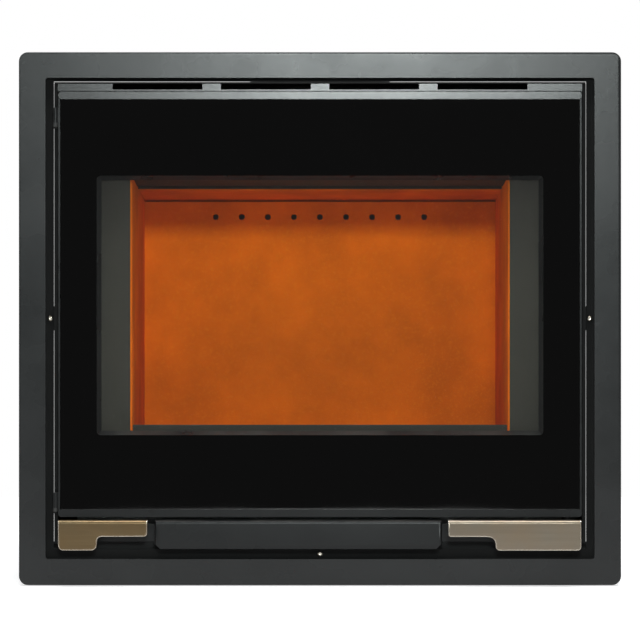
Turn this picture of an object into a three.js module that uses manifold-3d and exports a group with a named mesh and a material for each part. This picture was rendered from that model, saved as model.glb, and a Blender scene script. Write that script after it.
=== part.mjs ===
// A cassette wood-burning insert: a steel firebox lined with insulating board inside a
// convection casing, with a glass door, an air control and a folded trim frame round its front.
// Millimetres, +Z up. X runs across the front and +Y runs from the door into the wall.
// Inside the model y = 0 is the face of the trim frame and z = 0 is what the feet stand on.
import * as THREE from "three";
import { mergeVertices } from "three/addons/utils/BufferGeometryUtils.js";
import Module from "manifold-3d";

// Clearances
const seat = 0.3; // between pieces that rest on each other
const running = 1; // between pieces that move past each other
const pinPlay = 0.2; // round a pin or a spindle

// Trim frame
const trimWidth = 600;
const trimHeight = 531;
const trimSide = 26.5;
const trimTop = 25.5;
const trimBottom = 26;
const trimSheet = 2;
const trimCorner = 9;
const trimInnerCorner = 2.5;
const trimEdge = 10; // depth of its outer return
const trimEdgeRound = 1.2;
const trimReveal = 12; // depth of its inner return
const trimLift = 1; // its lower edge stands clear of the hearth
const trimFlangeSide = 8.5; // width of the recessed flange beside the casing
const trimFlangeTop = 4; // the same above the casing
const trimFlangeBottom = 9.5; // the same below the casing
const trimFlangeGap = 0.8; // from that flange to the casing, at the sides and the top
const screwHeadRadius = 2.7;
const screwFlatRadius = 1.6;
const screwHead = 1.8;
const screwRadius = 1.5;
const screwLength = 6.5;

// Convection casing
const casingFront = 4; // its front edges stand this far behind the trim face
const casingSheet = 1.5;
const casingHem = 3.4; // the folded front edge of each side
const footHeight = 41; // the casing's base above the floor
const sideSpace = 46.2; // warm-air space beside the firebox
const topSpace = 32.5; // warm-air space above it, with the casing's top
const backSpace = 28.5; // behind the back air riser, with the casing's back
const backFlange = 12;
const backVents = 6;
const backVentWidth = 60;
const backVentHeight = 8;
const backVentPitch = 78;
const backVentLift = 14;
const tabHalf = 12; // half the height of the side tabs that the trim screws go into
const lowerTabHalf = 4; // the same of the lower one, which runs the whole width

// Door recess liner with the warm-air outlets
const linerSheet = 1.5;
const outletHeight = 5.7;
const outletSlots = 4;
const outletWebs = 18.5; // width of the webs between the slots
const outletEnds = 54.5; // width of the webs at both ends
const webReturn = 8;

// Levelling feet
const footInset = 10; // from the casing's side to the stud's axis
const footFromFront = 56;
const footFromBack = 23;
const studRadius = 5;
const studTop = 18; // above the casing base
const padRadius = 14;
const padNeckRadius = 8.4;
const padHeight = 6;
const nutHeight = 7;
const nutRadius = 9;

// Firebox
const fireFront = 21; // front face of its front plate
const firePlate = 3;
const chamberDepth = 266;
const openingRise = 0.5; // from the window's lower edge up to the opening's
const openingOver = 12; // from the window's upper edge up to the opening's
const openingSide = 1; // the opening is this much wider than the chamber on each side
const openingCorner = 5;
const frontPlateBottom = 70;
const fireBaseHeight = 100;
const boardThickness = 25;

// Linings
const ceilingSlope = THREE.MathUtils.degToRad(4); // the ceiling falls towards the back
const ceilingDrop = 58.4; // at the front plate, below the firebox's top
const jetCount = 9;
const jetRadius = 3.25;
const jetPitch = 28.1;
const jetDrop = 34.2; // below the window's upper edge

// Grate, ash tray and sill
const grateWidth = 162;
const grateDepth = 120;
const grateThickness = 11;
const grateLedge = 6; // width of the ledge that it lies on
const grateCentre = 170;
const grateSlots = 11;
const grateSlotWidth = 6.5;
const grateRim = 9;
const grateCorner = 3;
const trayGap = 3; // from the ash tray to the hole it lifts through
const trayHeight = 50;
const traySheet = 1.5;
const trayRim = 5;
const sillDepth = 54;
const sillSheet = 2;
const sillCorner = 14;

// Ceiling pieces, along and square to its slope
const washDepth = 124.5;
const washHeight = 28;
const washSheet = 2;
const washSlot = 7;
const washLip = 2.5;
const smokeGap = 41; // from the air-wash channel to the baffle
const deflectorLift = 15;
const deflectorOverhang = 56;
const deflectorGap = 38.5; // from its back edge to the baffle's
const deflectorSheet = 3;
const deflectorFootInset = 11;
const deflectorLip = 8;

// Flue
const flueRadius = 70;
const flueWall = 4;
const flueFlange = 14;
const flueFromBack = 89.2; // from the firebox's back to the flue's axis
const flueRise = 27.5; // above the casing
const flueCasingGap = 2;

// Air supply
const airBoxInset = 19; // from the casing's side
const airBoxFront = 60;
const airBoxFromBack = 18; // from the casing's back
const airBoxLift = 1; // above the casing's base sheet
const ductSheet = 1.5;
const riserDepth = 15;
const riserWidth = 60;
const riserFront = 85;
const riserOver = 20.4; // above the chamber's ceiling
const riserPortHeight = 13;
const headerWidth = 250;
const headerHeight = 30;
const backRiserWidth = 80;
const airSlots = 3;
const airSlotWidth = 24;
const airSlotLength = 90;
const airSlotPitch = 60;
const airSlotFirst = 118;
const airSlotFromRod = 57; // from the rod's axis to the middle of the slots
const airTravel = 30;
const damperSheet = 2;
const damperMargin = 10;
const rodRadius = 4;
const rodInset = 25.6; // from the lever's outer end to the rod's axis
const rodHeight = 52;
const rodReach = 12; // into the damper
const lugWall = 3;
const lugDepth = 8;

// Door
const doorLift = 3; // above the centre bar
const doorSheet = 1.6;
const doorDepth = 19; // from the face of its glass to its back edge
const glassThickness = 4;
const glassGap = 0.5;
const tapeThickness = 2; // the tape between the glass and the door frame
const tapeWidth = 12;
const tapeInset = 3;
const railFace = 7.5;
const railSheet = 1.5;
const railRound = 3;
const windowSide = 38.1; // from the window to the door's side
const windowAbove = 83.5; // from the window to the door's top
const windowBelow = 81.3; // from the window to the door's bottom
const windowCorner = 4;
const lipInset = 4; // the window lip draws in this much
const lipDepth = 7.5;
const ropeWidth = 10.2;
const ropeOffset = 17.5; // from the window's edge to the rope's middle, below and beside it
const ropeOffsetTop = 24;
const ropeCorner = 12;
const ropeWallDepth = 6.5;
const hingeOutset = 3; // from the door's side to the hinge axis
const hingeY = 0;
const knuckleRadius = 2.5;
const knuckleHeight = 15;
const knuckleLift = 9; // the lower knuckle above the door's lower edge
const knuckleDrop = 16; // the upper knuckle below the door's upper edge
const knuckleLeaf = 2; // thickness of the leaf between a knuckle and the door
const hingePinRadius = 1.5;
const hingePinHead = 1.5;
const hingeEye = 3.5;

// Lower front: base strip, centre bar, levers
const stripTop = 61;
const stripFold = 8;
const stripFoot = 24;
const barLeverGap = 7; // from the air lever
const barHandleGap = 6; // from the handle
const barTop = 66.2;
const barBottom = 37.4;
const barFront = -14;
const barSheet = 2;
const barChamfer = 5;
const barBevel = 3;
const leverTop = 67;
const leverBottom = 36.9;
const leverTab = 16.5; // height of a lever's thin end
const leverBevel = 1.2;
const leverTopRound = 3.5; // radius of the bend along a lever's upper edge
const leverSideGap = 2; // from the door recess
const leverWidth = 88.6;
const leverStepWidth = 38.6;
const leverCorners = { outer: 6, step: 6.5, fillet: 5, inner: 4.5 };
const leverFront = -20;
const leverPlate = 6;
const handleSideGap = 2.9;
const handleWidth = 131.7;
const handleStepWidth = 84.7;
const handleCorners = { outer: 4.5, step: 4.4, fillet: 9, inner: 3.2 };
const handleFront = -22;
const handlePlate = 7;

// Latch
const spindleInset = 14.6; // from the door's side
const spindleY = 12.5;
const spindleRadius = 3.5;
const spindleTop = 80;
const hubRadius = 6.5;
const hubBottom = 44.5;
const hubTop = 57.5;
const hubArm = 12;
const hookBottom = 62.5;
const hookThickness = 3.5;
const hookArm = 5;
const hookDisc = 7.5;
const hookNose = 5;
const strikerOffset = 9; // from the spindle's axis towards the door's side
const strikerY = 36;
const strikerRadius = 4;
const strikerPlate = 3;
const strikerHeight = 25;

// Places that follow from the sizes above
const trimOpeningHalf = trimWidth / 2 - trimSide;
const trimOpeningBottom = trimLift + trimBottom;
const trimOpeningTop = trimLift + trimHeight - trimTop;

const casingHalf = trimOpeningHalf - trimFlangeSide;
const casingInner = casingHalf - casingSheet;
const casingTop = trimOpeningTop - trimFlangeTop;
const casingFloor = footHeight + casingSheet;
const casingCeiling = casingTop - casingSheet;

const linerOuter = casingInner - seat;
const linerInner = casingHalf - casingHem;
const linerBack = fireFront - seat;
const outletTop = casingCeiling - seat;
const shelfTop = outletTop - outletHeight;
const shelfBottom = shelfTop - linerSheet;

const doorTop = shelfBottom - running;
const doorBottom = barTop + doorLift;
const doorHalf = linerInner - running;
const frameTop = doorTop - railSheet - seat;
const frameBottom = doorBottom + railSheet + seat;
const frameSheetFront = glassThickness + tapeThickness;
const frameSheetBack = frameSheetFront + doorSheet;
const windowHalf = doorHalf - windowSide;
const windowBottom = doorBottom + windowBelow;
const windowTop = doorTop - windowAbove;
const ropeHalf = windowHalf + ropeOffset;
const ropeLow = windowBottom - ropeOffset;
const ropeHigh = windowTop + ropeOffsetTop;
const hingeX = -doorHalf - hingeOutset;
const lowerKnuckle = doorBottom + knuckleLift;
const upperKnuckle = doorTop - knuckleDrop - knuckleHeight;

const fireBack = fireFront + firePlate; // back face of the front plate
const openingBottom = windowBottom + openingRise;
const openingTop = windowTop + openingOver;
const shellOuter = casingInner - sideSpace;
const shellInner = shellOuter - firePlate;
const chamberHalf = shellInner - seat - boardThickness;
const boardFront = fireBack + 2 * seat;
const boardRear = boardFront + chamberDepth; // front face of the back lining
const shellFront = fireBack + seat;
const backPlateFront = boardRear + boardThickness + 2 * seat;
const shellBack = backPlateFront + firePlate;
const shellFloor = fireBaseHeight + firePlate;
const fireTopHeight = casingTop - topSpace;
const shellCeiling = fireTopHeight - firePlate;
const hearthBottom = shellFloor + seat;
const hearthTop = hearthBottom + boardThickness;
const ceilingHeight = fireTopHeight - ceilingDrop;
const ceilingAt = (y) => ceilingHeight - (y - shellFront) * Math.tan(ceilingSlope);
const jetHeight = windowTop - jetDrop;
const flueCentre = shellBack - flueFromBack;
const flueTop = casingTop + flueRise;

const grateHalf = grateWidth / 2;
const grateBottom = hearthTop - grateThickness;
const ashHalf = grateHalf - grateLedge;
const ashFront = grateCentre - grateDepth / 2 + grateLedge;
const ashBack = grateCentre + grateDepth / 2 - grateLedge;

const riserInner = shellOuter + seat;
const riserOuter = riserInner + riserDepth;
const riserTop = ceilingHeight + riserOver;
const backRiserFront = shellBack + seat;
const casingBack = backRiserFront + riserDepth + backSpace;
const airBoxHalf = casingHalf - airBoxInset;
const airBoxBack = casingBack - airBoxFromBack;
const airBoxBottom = casingFloor + airBoxLift;
const airBoxFloor = airBoxBottom + ductSheet;
const airBoxTop = fireBaseHeight - seat;
const washEnd = seat + washDepth;
const baffleStart = washEnd + smokeGap;

const stripFront = fireFront;
const stripBottom = casingFloor + seat;
const stripHalf = linerInner - seat;
const leverLeft = -linerInner + leverSideGap;
const leverRight = leverLeft + leverWidth;
const handleRight = linerInner - handleSideGap;
const handleLeft = handleRight - handleWidth;
const barLeft = leverRight + barLeverGap;
const barRight = handleLeft - barHandleGap;
const rodX = leverLeft + rodInset;
const airSlotCentre = rodX + airSlotFromRod;
const spindleX = doorHalf - spindleInset;
const strikerX = spindleX + strikerOffset;

const overallFront = Math.min(handleFront, leverFront, barFront);
const bodyMiddle = (overallFront + casingBack) / 2;

// Solids
const wasm = await Module();
wasm.setup();

function solid(geometry) {
  const plain = geometry.index ? geometry.toNonIndexed() : geometry.clone();
  plain.deleteAttribute("normal");
  plain.deleteAttribute("uv");
  const merged = mergeVertices(plain, 1e-4);
  return new wasm.Manifold(
    new wasm.Mesh({
      numProp: 3,
      vertProperties: merged.attributes.position.array,
      triVerts: new Uint32Array(merged.index.array),
    }),
  );
}

function surface(shape) {
  const mesh = shape.getMesh();
  const indexed = new THREE.BufferGeometry();
  indexed.setAttribute("position", new THREE.BufferAttribute(mesh.vertProperties, 3));
  indexed.setIndex(new THREE.BufferAttribute(mesh.triVerts, 1));
  const faceted = indexed.toNonIndexed();
  faceted.computeVertexNormals();
  return faceted;
}

const join = (first, ...rest) => rest.reduce((whole, piece) => whole.add(piece), first);
const cut = (first, ...rest) => rest.reduce((whole, piece) => whole.subtract(piece), first);
const times = (count, make) => Array.from({ length: count }, (_, index) => make(index));

function block(x0, x1, y0, y1, z0, z1) {
  const box = new THREE.BoxGeometry(x1 - x0, y1 - y0, z1 - z0);
  return solid(box.translate((x0 + x1) / 2, (y0 + y1) / 2, (z0 + z1) / 2));
}

// An outline drawn in the XZ plane, filled from y0 back to y1.
const frontAxes = new THREE.Matrix4().makeBasis(
  new THREE.Vector3(1, 0, 0), new THREE.Vector3(0, 0, 1), new THREE.Vector3(0, -1, 0),
);
function frontPlate(outline, y0, y1, curveSegments = 4) {
  const slab = new THREE.ExtrudeGeometry(outline, {
    depth: y1 - y0, bevelEnabled: false, curveSegments,
  });
  return solid(slab.applyMatrix4(frontAxes).translate(0, y1, 0));
}

// The same with its front and back edges rounded.
function roundedPlate(outline, y0, y1, round, curveSegments = 4, roundSegments = 2) {
  const slab = new THREE.ExtrudeGeometry(outline, {
    depth: y1 - y0 - 2 * round,
    bevelThickness: round,
    bevelSize: round,
    bevelOffset: -round,
    bevelSegments: roundSegments,
    curveSegments,
  });
  return solid(slab.applyMatrix4(frontAxes).translate(0, y1 - round, 0));
}

// An outline drawn in the YZ plane, filled from x0 across to x1.
const sideAxes = new THREE.Matrix4().makeBasis(
  new THREE.Vector3(0, 1, 0), new THREE.Vector3(0, 0, 1), new THREE.Vector3(1, 0, 0),
);
function sidePlate(outline, x0, x1) {
  const slab = new THREE.ExtrudeGeometry(outline, { depth: x1 - x0, bevelEnabled: false });
  return solid(slab.applyMatrix4(sideAxes).translate(x0, 0, 0));
}

// An outline drawn in the XY plane, filled from z0 up to z1.
function flatPlate(outline, z0, z1, curveSegments = 4) {
  const slab = new THREE.ExtrudeGeometry(outline, {
    depth: z1 - z0, bevelEnabled: false, curveSegments,
  });
  return solid(slab.translate(0, 0, z0));
}

function upright(x, y, radius, z0, z1, sides = 16) {
  const rod = new THREE.CylinderGeometry(radius, radius, z1 - z0, sides);
  return solid(rod.rotateX(Math.PI / 2).translate(x, y, (z0 + z1) / 2));
}

function along(x, z, radius, y0, y1, sides = 16) {
  const rod = new THREE.CylinderGeometry(radius, radius, y1 - y0, sides);
  return solid(rod.translate(x, (y0 + y1) / 2, z));
}

function across(y, z, radius, x0, x1, sides = 32) {
  const rod = new THREE.CylinderGeometry(radius, radius, x1 - x0, sides);
  return solid(rod.rotateZ(Math.PI / 2).translate((x0 + x1) / 2, y, z));
}

// A turned piece: points are [radius, height] up from the axis and back to it, or a closed loop.
function turned(points, x, y, sides) {
  const profile = points.map(([radius, height]) => new THREE.Vector2(radius, height));
  const lathe = new THREE.LatheGeometry(profile, sides);
  return solid(lathe.rotateX(Math.PI / 2).translate(x, y, 0));
}

// Outlines
function polygon(points) {
  return new THREE.Shape(points.map(([a, b]) => new THREE.Vector2(a, b)));
}

function rectangle(a0, a1, b0, b1, radius = 0) {
  if (radius === 0) return polygon([[a0, b0], [a1, b0], [a1, b1], [a0, b1]]);
  const quarter = Math.PI / 2;
  return new THREE.Shape()
    .moveTo(a0 + radius, b0)
    .lineTo(a1 - radius, b0)
    .absarc(a1 - radius, b0 + radius, radius, -quarter, 0)
    .lineTo(a1, b1 - radius)
    .absarc(a1 - radius, b1 - radius, radius, 0, quarter)
    .lineTo(a0 + radius, b1)
    .absarc(a0 + radius, b1 - radius, radius, quarter, 2 * quarter)
    .lineTo(a0, b0 + radius)
    .absarc(a0 + radius, b0 + radius, radius, 2 * quarter, 3 * quarter);
}

// A rectangle's outline grown outwards on every side.
const grown = (box, by, radius = 0) =>
  rectangle(box.left - by, box.right + by, box.low - by, box.high + by, radius);

function ring(box, outerBy, innerBy, y0, y1, outerRadius = 0, innerRadius = 0) {
  return cut(
    frontPlate(grown(box, outerBy, outerRadius), y0, y1),
    frontPlate(grown(box, innerBy, innerRadius), y0 - 1, y1 + 1),
  );
}

// A four-sided funnel, from one rectangle at y0 to a smaller one at y1.
function funnel(box, by0, by1, y0, y1) {
  const corners = [];
  for (const [y, by] of [[y0, by0], [y1, by1]]) {
    corners.push(
      box.left - by, y, box.low - by, box.right + by, y, box.low - by,
      box.right + by, y, box.high + by, box.left - by, y, box.high + by,
    );
  }
  const geometry = new THREE.BufferGeometry();
  geometry.setAttribute("position", new THREE.Float32BufferAttribute(corners, 3));
  const faces = [0, 1, 2, 0, 2, 3, 4, 6, 5, 4, 7, 6];
  for (let side = 0; side < 4; side += 1) {
    const next = (side + 1) % 4;
    faces.push(side, side + 4, next + 4, side, next + 4, next);
  }
  geometry.setIndex(faces);
  return solid(geometry);
}

// Materials
const material = (color, roughness, metalness) =>
  new THREE.MeshStandardMaterial({ color, roughness, metalness });
const paint = material(0x2b2e2f, 0.55, 0.4);
const sheetSteel = material(0x8d9193, 0.5, 0.8);
const stainless = material(0x9c8f84, 0.28, 1);
const darkSteel = material(0x34322f, 0.65, 0.7);
const castIron = material(0x2a2624, 0.8, 0.5);
const board = material(0xb5743a, 0.95, 0);
const blackGlass = material(0x0b0b0a, 0.08, 0);
const rope = material(0x4a4844, 1, 0);

function mesh(name, shape, look) {
  const piece = new THREE.Mesh(surface(shape), look);
  piece.name = name;
  return piece;
}

// Pieces that turn about an upright axis go in a group that stands on that axis.
function turningGroup(x, y, children) {
  const group = new THREE.Group();
  group.position.set(x, y, 0);
  for (const child of children) {
    child.position.x -= x;
    child.position.y -= y;
    group.add(child);
  }
  return group;
}

// Trim frame
const trimOpening = {
  left: -trimOpeningHalf, right: trimOpeningHalf, low: trimOpeningBottom, high: trimOpeningTop,
};
const screwPlaces = {
  left: [-(trimOpeningHalf + casingHalf) / 2, (trimOpeningBottom + trimOpeningTop) / 2],
  right: [(trimOpeningHalf + casingHalf) / 2, (trimOpeningBottom + trimOpeningTop) / 2],
  bottom: [0, trimOpeningBottom + trimFlangeBottom / 2],
};

function trimFrame() {
  const half = trimWidth / 2;
  const top = trimLift + trimHeight;
  const outline = rectangle(-half, half, trimLift, top, trimCorner);
  const inside = rectangle(
    -half + trimSheet, half - trimSheet, trimLift + trimSheet, top - trimSheet,
    trimCorner - trimSheet,
  );
  const outer = cut(
    roundedPlate(outline, 0, trimEdge + trimEdgeRound, trimEdgeRound),
    block(-half, half, trimEdge, trimEdge + 2 * trimEdgeRound, 0, top + 1),
    frontPlate(inside, trimSheet, trimEdge + 1),
  );
  const face = frontPlate(inside, trimSheet / 2, trimSheet);
  const opening = frontPlate(grown(trimOpening, 0, trimInnerCorner), -1, trimReveal + 1);
  const innerReturn = frontPlate(
    grown(trimOpening, trimSheet, trimInnerCorner + trimSheet), trimSheet / 2, trimReveal,
  );
  const flange = cut(
    frontPlate(grown(trimOpening, trimSheet / 2), trimReveal - trimSheet, trimReveal),
    block(
      -casingHalf - trimFlangeGap, casingHalf + trimFlangeGap, 0, trimReveal + 1,
      trimOpeningBottom + trimFlangeBottom, casingTop + trimFlangeGap,
    ),
    ...Object.values(screwPlaces).map(([x, z]) =>
      along(x, z, screwRadius + seat, 0, trimReveal + 1, 10)),
  );
  return join(cut(join(outer, face, innerReturn), opening), flange);
}

function trimScrew([x, z]) {
  const neck = trimReveal - trimSheet - seat;
  const headFront = neck - screwHead;
  const profile = [
    [0, 0], [screwFlatRadius, 0], [screwHeadRadius, screwHead / 2], [screwHeadRadius, screwHead],
    [screwRadius, screwHead], [screwRadius, screwLength], [0, screwLength],
  ].map(([radius, height]) => new THREE.Vector2(radius, height));
  return solid(new THREE.LatheGeometry(profile, 12).translate(x, headFront, z));
}

// Casing
function casingSide(side) {
  const [tabX, tabZ] = screwPlaces.left;
  const low = casingFloor + seat;
  const high = casingCeiling - seat;
  const tabFront = trimReveal + seat;
  const sheet = join(
    block(-casingHalf, -casingInner, casingFront, casingBack - casingSheet - seat, low, high),
    block(-casingHalf, -linerInner, casingFront, casingFront + casingSheet, low, high),
    block(
      -trimOpeningHalf + trimSheet / 2, -casingInner, tabFront, tabFront + casingSheet,
      tabZ - tabHalf, tabZ + tabHalf,
    ),
  );
  const shape = cut(sheet, along(tabX, tabZ, screwRadius + seat, 0, 2 * tabFront, 10));
  return side < 0 ? shape : shape.mirror([1, 0, 0]);
}

const flueHole = (radius, z0, z1) => upright(0, flueCentre, radius, z0, z1, 40);

function casingTopSheet() {
  const sheet = block(
    -casingHalf, casingHalf, casingFront, casingBack - casingSheet - seat,
    casingCeiling, casingTop,
  );
  return cut(
    sheet, flueHole(flueRadius + flueWall + flueCasingGap, casingCeiling - 1, casingTop + 1),
  );
}

function casingBackSheet() {
  const front = casingBack - casingSheet;
  const flange = (from, to) =>
    block(from, to, front - backFlange, casingBack, casingFloor + seat, casingCeiling - seat);
  const vents = times(backVents, (index) => {
    const x = (index - (backVents - 1) / 2) * backVentPitch;
    const z = casingFloor + backVentLift;
    const slot = rectangle(
      x - backVentWidth / 2, x + backVentWidth / 2, z, z + backVentHeight, backVentHeight / 2,
    );
    return frontPlate(slot, front - 1, casingBack + 1, 3);
  });
  return cut(
    join(
      block(-casingHalf, casingHalf, front, casingBack, footHeight, casingTop),
      flange(-linerOuter, -linerOuter + casingSheet),
      flange(linerOuter - casingSheet, linerOuter),
    ),
    ...vents,
  );
}

const airSlotY = (index) => airSlotFirst + index * airSlotPitch;
function airSlot(index, shift, z0, z1) {
  const y = airSlotY(index) + shift;
  const slot = rectangle(
    airSlotCentre - airSlotLength / 2, airSlotCentre + airSlotLength / 2,
    y - airSlotWidth / 2, y + airSlotWidth / 2,
  );
  return flatPlate(slot, z0, z1);
}

const footPlaces = [-1, 1].flatMap((side) =>
  [casingFront + footFromFront, casingBack - footFromBack].map((y) => [
    side * (casingHalf - footInset), y,
  ]));

function casingBase() {
  const front = stripFront + casingSheet + seat;
  const [, tabZ] = screwPlaces.bottom;
  const tabFront = trimReveal + seat;
  const tabLow = tabZ - lowerTabHalf;
  const tab = sidePlate(
    polygon([
      [tabFront, tabLow], [front + casingSheet, tabLow], [front + casingSheet, footHeight + 1],
      [front, footHeight + 1], [front, tabLow + casingSheet],
      [tabFront + casingSheet, tabLow + casingSheet],
      [tabFront + casingSheet, tabZ + lowerTabHalf], [tabFront, tabZ + lowerTabHalf],
    ]),
    -casingHalf, casingHalf,
  );
  return cut(
    join(
      block(
        -casingHalf, casingHalf, front, casingBack - casingSheet - seat,
        footHeight, casingFloor,
      ),
      tab,
    ),
    along(0, tabZ, screwRadius + seat, 0, tabFront + casingSheet + 1, 10),
    ...times(airSlots, (index) => airSlot(index, 0, footHeight - 1, casingFloor + 1)),
    ...footPlaces.map(([x, y]) =>
      upright(x, y, studRadius + pinPlay, footHeight - 1, casingFloor + 1, 16)),
  );
}

function levellingFoot([x, y]) {
  const nutTop = footHeight - seat;
  const stud = turned(
    [
      [0, 0], [padRadius, 0], [padRadius, padHeight / 2], [padNeckRadius, padHeight],
      [studRadius, padHeight], [studRadius, footHeight + studTop], [0, footHeight + studTop],
    ],
    x, y, 16,
  );
  return join(stud, upright(x, y, nutRadius, nutTop - nutHeight, nutTop, 6));
}

// Door recess liner: a shelf over the door with upright webs between its slots, and two legs.
function recessLiner() {
  const webFront = casingFront;
  const webHalf = linerInner - seat;
  const smallWebCount = outletSlots - 1;
  const slotSpan = (2 * (webHalf - outletEnds) - smallWebCount * outletWebs) / outletSlots;
  const web = (from, to) => join(
    block(from, to, webFront, webFront + linerSheet, shelfBottom, outletTop),
    block(from, to, webFront, webFront + webReturn, outletTop - linerSheet, outletTop),
  );
  const legs = [-1, 1].map((side) => {
    const a = side * linerInner;
    const b = side * linerOuter;
    return block(
      Math.min(a, b), Math.max(a, b), casingFront + casingSheet + seat, linerBack,
      stripBottom, shelfTop,
    );
  });
  const smallWebs = times(smallWebCount, (index) => {
    const from = -webHalf + outletEnds + (index + 1) * slotSpan + index * outletWebs;
    return web(from, from + outletWebs);
  });
  return join(
    block(
      -linerOuter, linerOuter, casingFront + casingSheet + seat, linerBack,
      shelfBottom, shelfTop,
    ),
    block(-webHalf, webHalf, webFront, webFront + webReturn, shelfBottom, shelfTop),
    web(-webHalf, -webHalf + outletEnds),
    web(webHalf - outletEnds, webHalf),
    ...smallWebs,
    ...legs,
  );
}

// Lower front
function baseStrip() {
  const outline = polygon([
    [stripFront, stripBottom], [stripFront + stripFoot, stripBottom],
    [stripFront + stripFoot, stripBottom + casingSheet],
    [stripFront + casingSheet, stripBottom + casingSheet],
    [stripFront + casingSheet, stripTop - casingSheet],
    [stripFront + stripFold, stripTop - casingSheet],
    [stripFront + stripFold, stripTop], [stripFront, stripTop],
  ]);
  return cut(
    sidePlate(outline, -stripHalf, stripHalf),
    along(rodX, rodHeight, rodRadius + running, stripFront - 1, stripFront + stripFold),
  );
}

function barOutline(inset) {
  const left = barLeft + inset;
  const right = barRight - inset;
  const low = barBottom + inset;
  const high = barTop - inset;
  const chamfer = barChamfer - inset * (2 - Math.SQRT2);
  return polygon([
    [left + chamfer, low], [right - chamfer, low], [right, low + chamfer],
    [right, high], [left, high], [left, low + chamfer],
  ]);
}

function centreBar() {
  const back = stripFront - seat;
  return cut(
    roundedPlate(barOutline(0), barFront, back + barBevel, barBevel, 4, 2),
    block(barLeft - 1, barRight + 1, back, back + 2 * barBevel, barBottom - 1, barTop + 1),
    frontPlate(barOutline(barSheet), barFront + barSheet, back + 1),
  );
}

// A lever's plate seen from the front: full height at its outer end, a thin tab at the inner one.
function leverOutline(outerEnd, step, innerEnd, radii) {
  const facing = Math.sign(innerEnd - outerEnd);
  const tabLow = leverTop - leverTab;
  const corners = [
    [outerEnd, leverBottom, radii.outer, 0, 1, 1, 0],
    [step, leverBottom, radii.step, -1, 0, 0, 1],
    [step, tabLow, radii.fillet, 0, -1, 1, 0],
    [innerEnd, tabLow, radii.inner, -1, 0, 0, 1],
  ];
  const shape = new THREE.Shape().moveTo(outerEnd, leverTop);
  for (const [x, z, radius, backX, backZ, onX, onZ] of corners) {
    shape.lineTo(x + facing * radius * backX, z + radius * backZ);
    shape.quadraticCurveTo(x, z, x + facing * radius * onX, z + radius * onZ);
  }
  return shape.lineTo(innerEnd, leverTop);
}

// A lever's plate, with its upper edge bent back in a round.
function leverPlateShape(outline, front, thickness) {
  const r = leverTopRound;
  const plate = roundedPlate(outline, front, front + thickness, leverBevel, 5, 2);
  const { min, max } = plate.boundingBox();
  return cut(
    plate,
    cut(
      block(min[0] - 1, max[0] + 1, front - 1, front + r, leverTop - r, leverTop + 1),
      across(front + r, leverTop - r, r, min[0] - 2, max[0] + 2),
    ),
  );
}

function airLever() {
  const outline = leverOutline(leverLeft, leverLeft + leverStepWidth, leverRight, leverCorners);
  return leverPlateShape(outline, leverFront, leverPlate);
}

const damperFront = airSlotFirst - airSlotWidth / 2 - damperMargin;
const damperTop = airBoxFloor + seat + damperSheet;

function airRod() {
  return along(
    rodX, rodHeight, rodRadius, leverFront + leverPlate + seat, damperFront + rodReach,
  );
}

function airDamper() {
  const left = rodX - rodRadius - lugWall;
  const right = airSlotCentre + airSlotLength / 2 + damperMargin;
  const last = airSlotY(airSlots - 1) + airSlotWidth / 2 + airTravel + damperMargin;
  const lug = block(
    left, rodX + rodRadius + lugWall, damperFront, damperFront + lugDepth,
    damperTop - damperSheet, rodHeight + rodRadius + lugWall,
  );
  return cut(
    join(block(left, right, damperFront, last, damperTop - damperSheet, damperTop), lug),
    along(rodX, rodHeight, rodRadius + pinPlay, damperFront - 1, damperFront + lugDepth + 1),
    ...times(airSlots, (index) => airSlot(index, airTravel, airBoxFloor, damperTop + 1)),
  );
}

// Firebox
function fireboxFront() {
  const opening = rectangle(
    -chamberHalf - openingSide, chamberHalf + openingSide, openingBottom, openingTop,
    openingCorner,
  );
  return cut(
    block(-linerOuter, linerOuter, fireFront, fireBack, frontPlateBottom, shelfBottom - seat),
    frontPlate(opening, fireFront - 1, fireBack + 1),
  );
}

function fireboxSide(side) {
  const [a, b] = [side * shellInner, side * shellOuter];
  const portTop = riserTop - 2 * ductSheet - seat;
  return cut(
    block(
      Math.min(a, b), Math.max(a, b), shellFront, shellBack,
      shellFloor + seat, shellCeiling - seat,
    ),
    block(
      Math.min(a, b) - 1, Math.max(a, b) + 1,
      riserFront + 2 * ductSheet, riserFront + riserWidth - 2 * ductSheet,
      portTop - riserPortHeight, portTop,
    ),
  );
}

const jets = (radius, y0, y1) => times(jetCount, (index) =>
  along((index - (jetCount - 1) / 2) * jetPitch, jetHeight, radius, y0, y1, 10));

function fireboxBack() {
  return cut(
    block(
      -shellInner + seat, shellInner - seat, backPlateFront, shellBack,
      shellFloor + seat, shellCeiling - seat,
    ),
    ...jets(jetRadius, backPlateFront - 1, shellBack + 1),
  );
}

function fireboxTop() {
  return cut(
    block(-shellOuter, shellOuter, shellFront, shellBack, shellCeiling, fireTopHeight),
    flueHole(flueRadius, shellCeiling - 1, fireTopHeight + 1),
  );
}

const ashHole = (z0, z1) => block(-ashHalf, ashHalf, ashFront, ashBack, z0, z1);

function fireboxBase() {
  return cut(
    block(-shellOuter, shellOuter, shellFront, shellBack, fireBaseHeight, shellFloor),
    ashHole(fireBaseHeight - 1, shellFloor + 1),
  );
}

function flueCollar() {
  const low = fireTopHeight + seat;
  const outer = flueRadius + flueWall;
  return turned(
    [
      [flueRadius, low], [outer + flueFlange, low], [outer + flueFlange, low + firePlate],
      [outer, low + firePlate], [outer, flueTop], [flueRadius, flueTop], [flueRadius, low],
    ],
    0, flueCentre, 40,
  );
}

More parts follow.
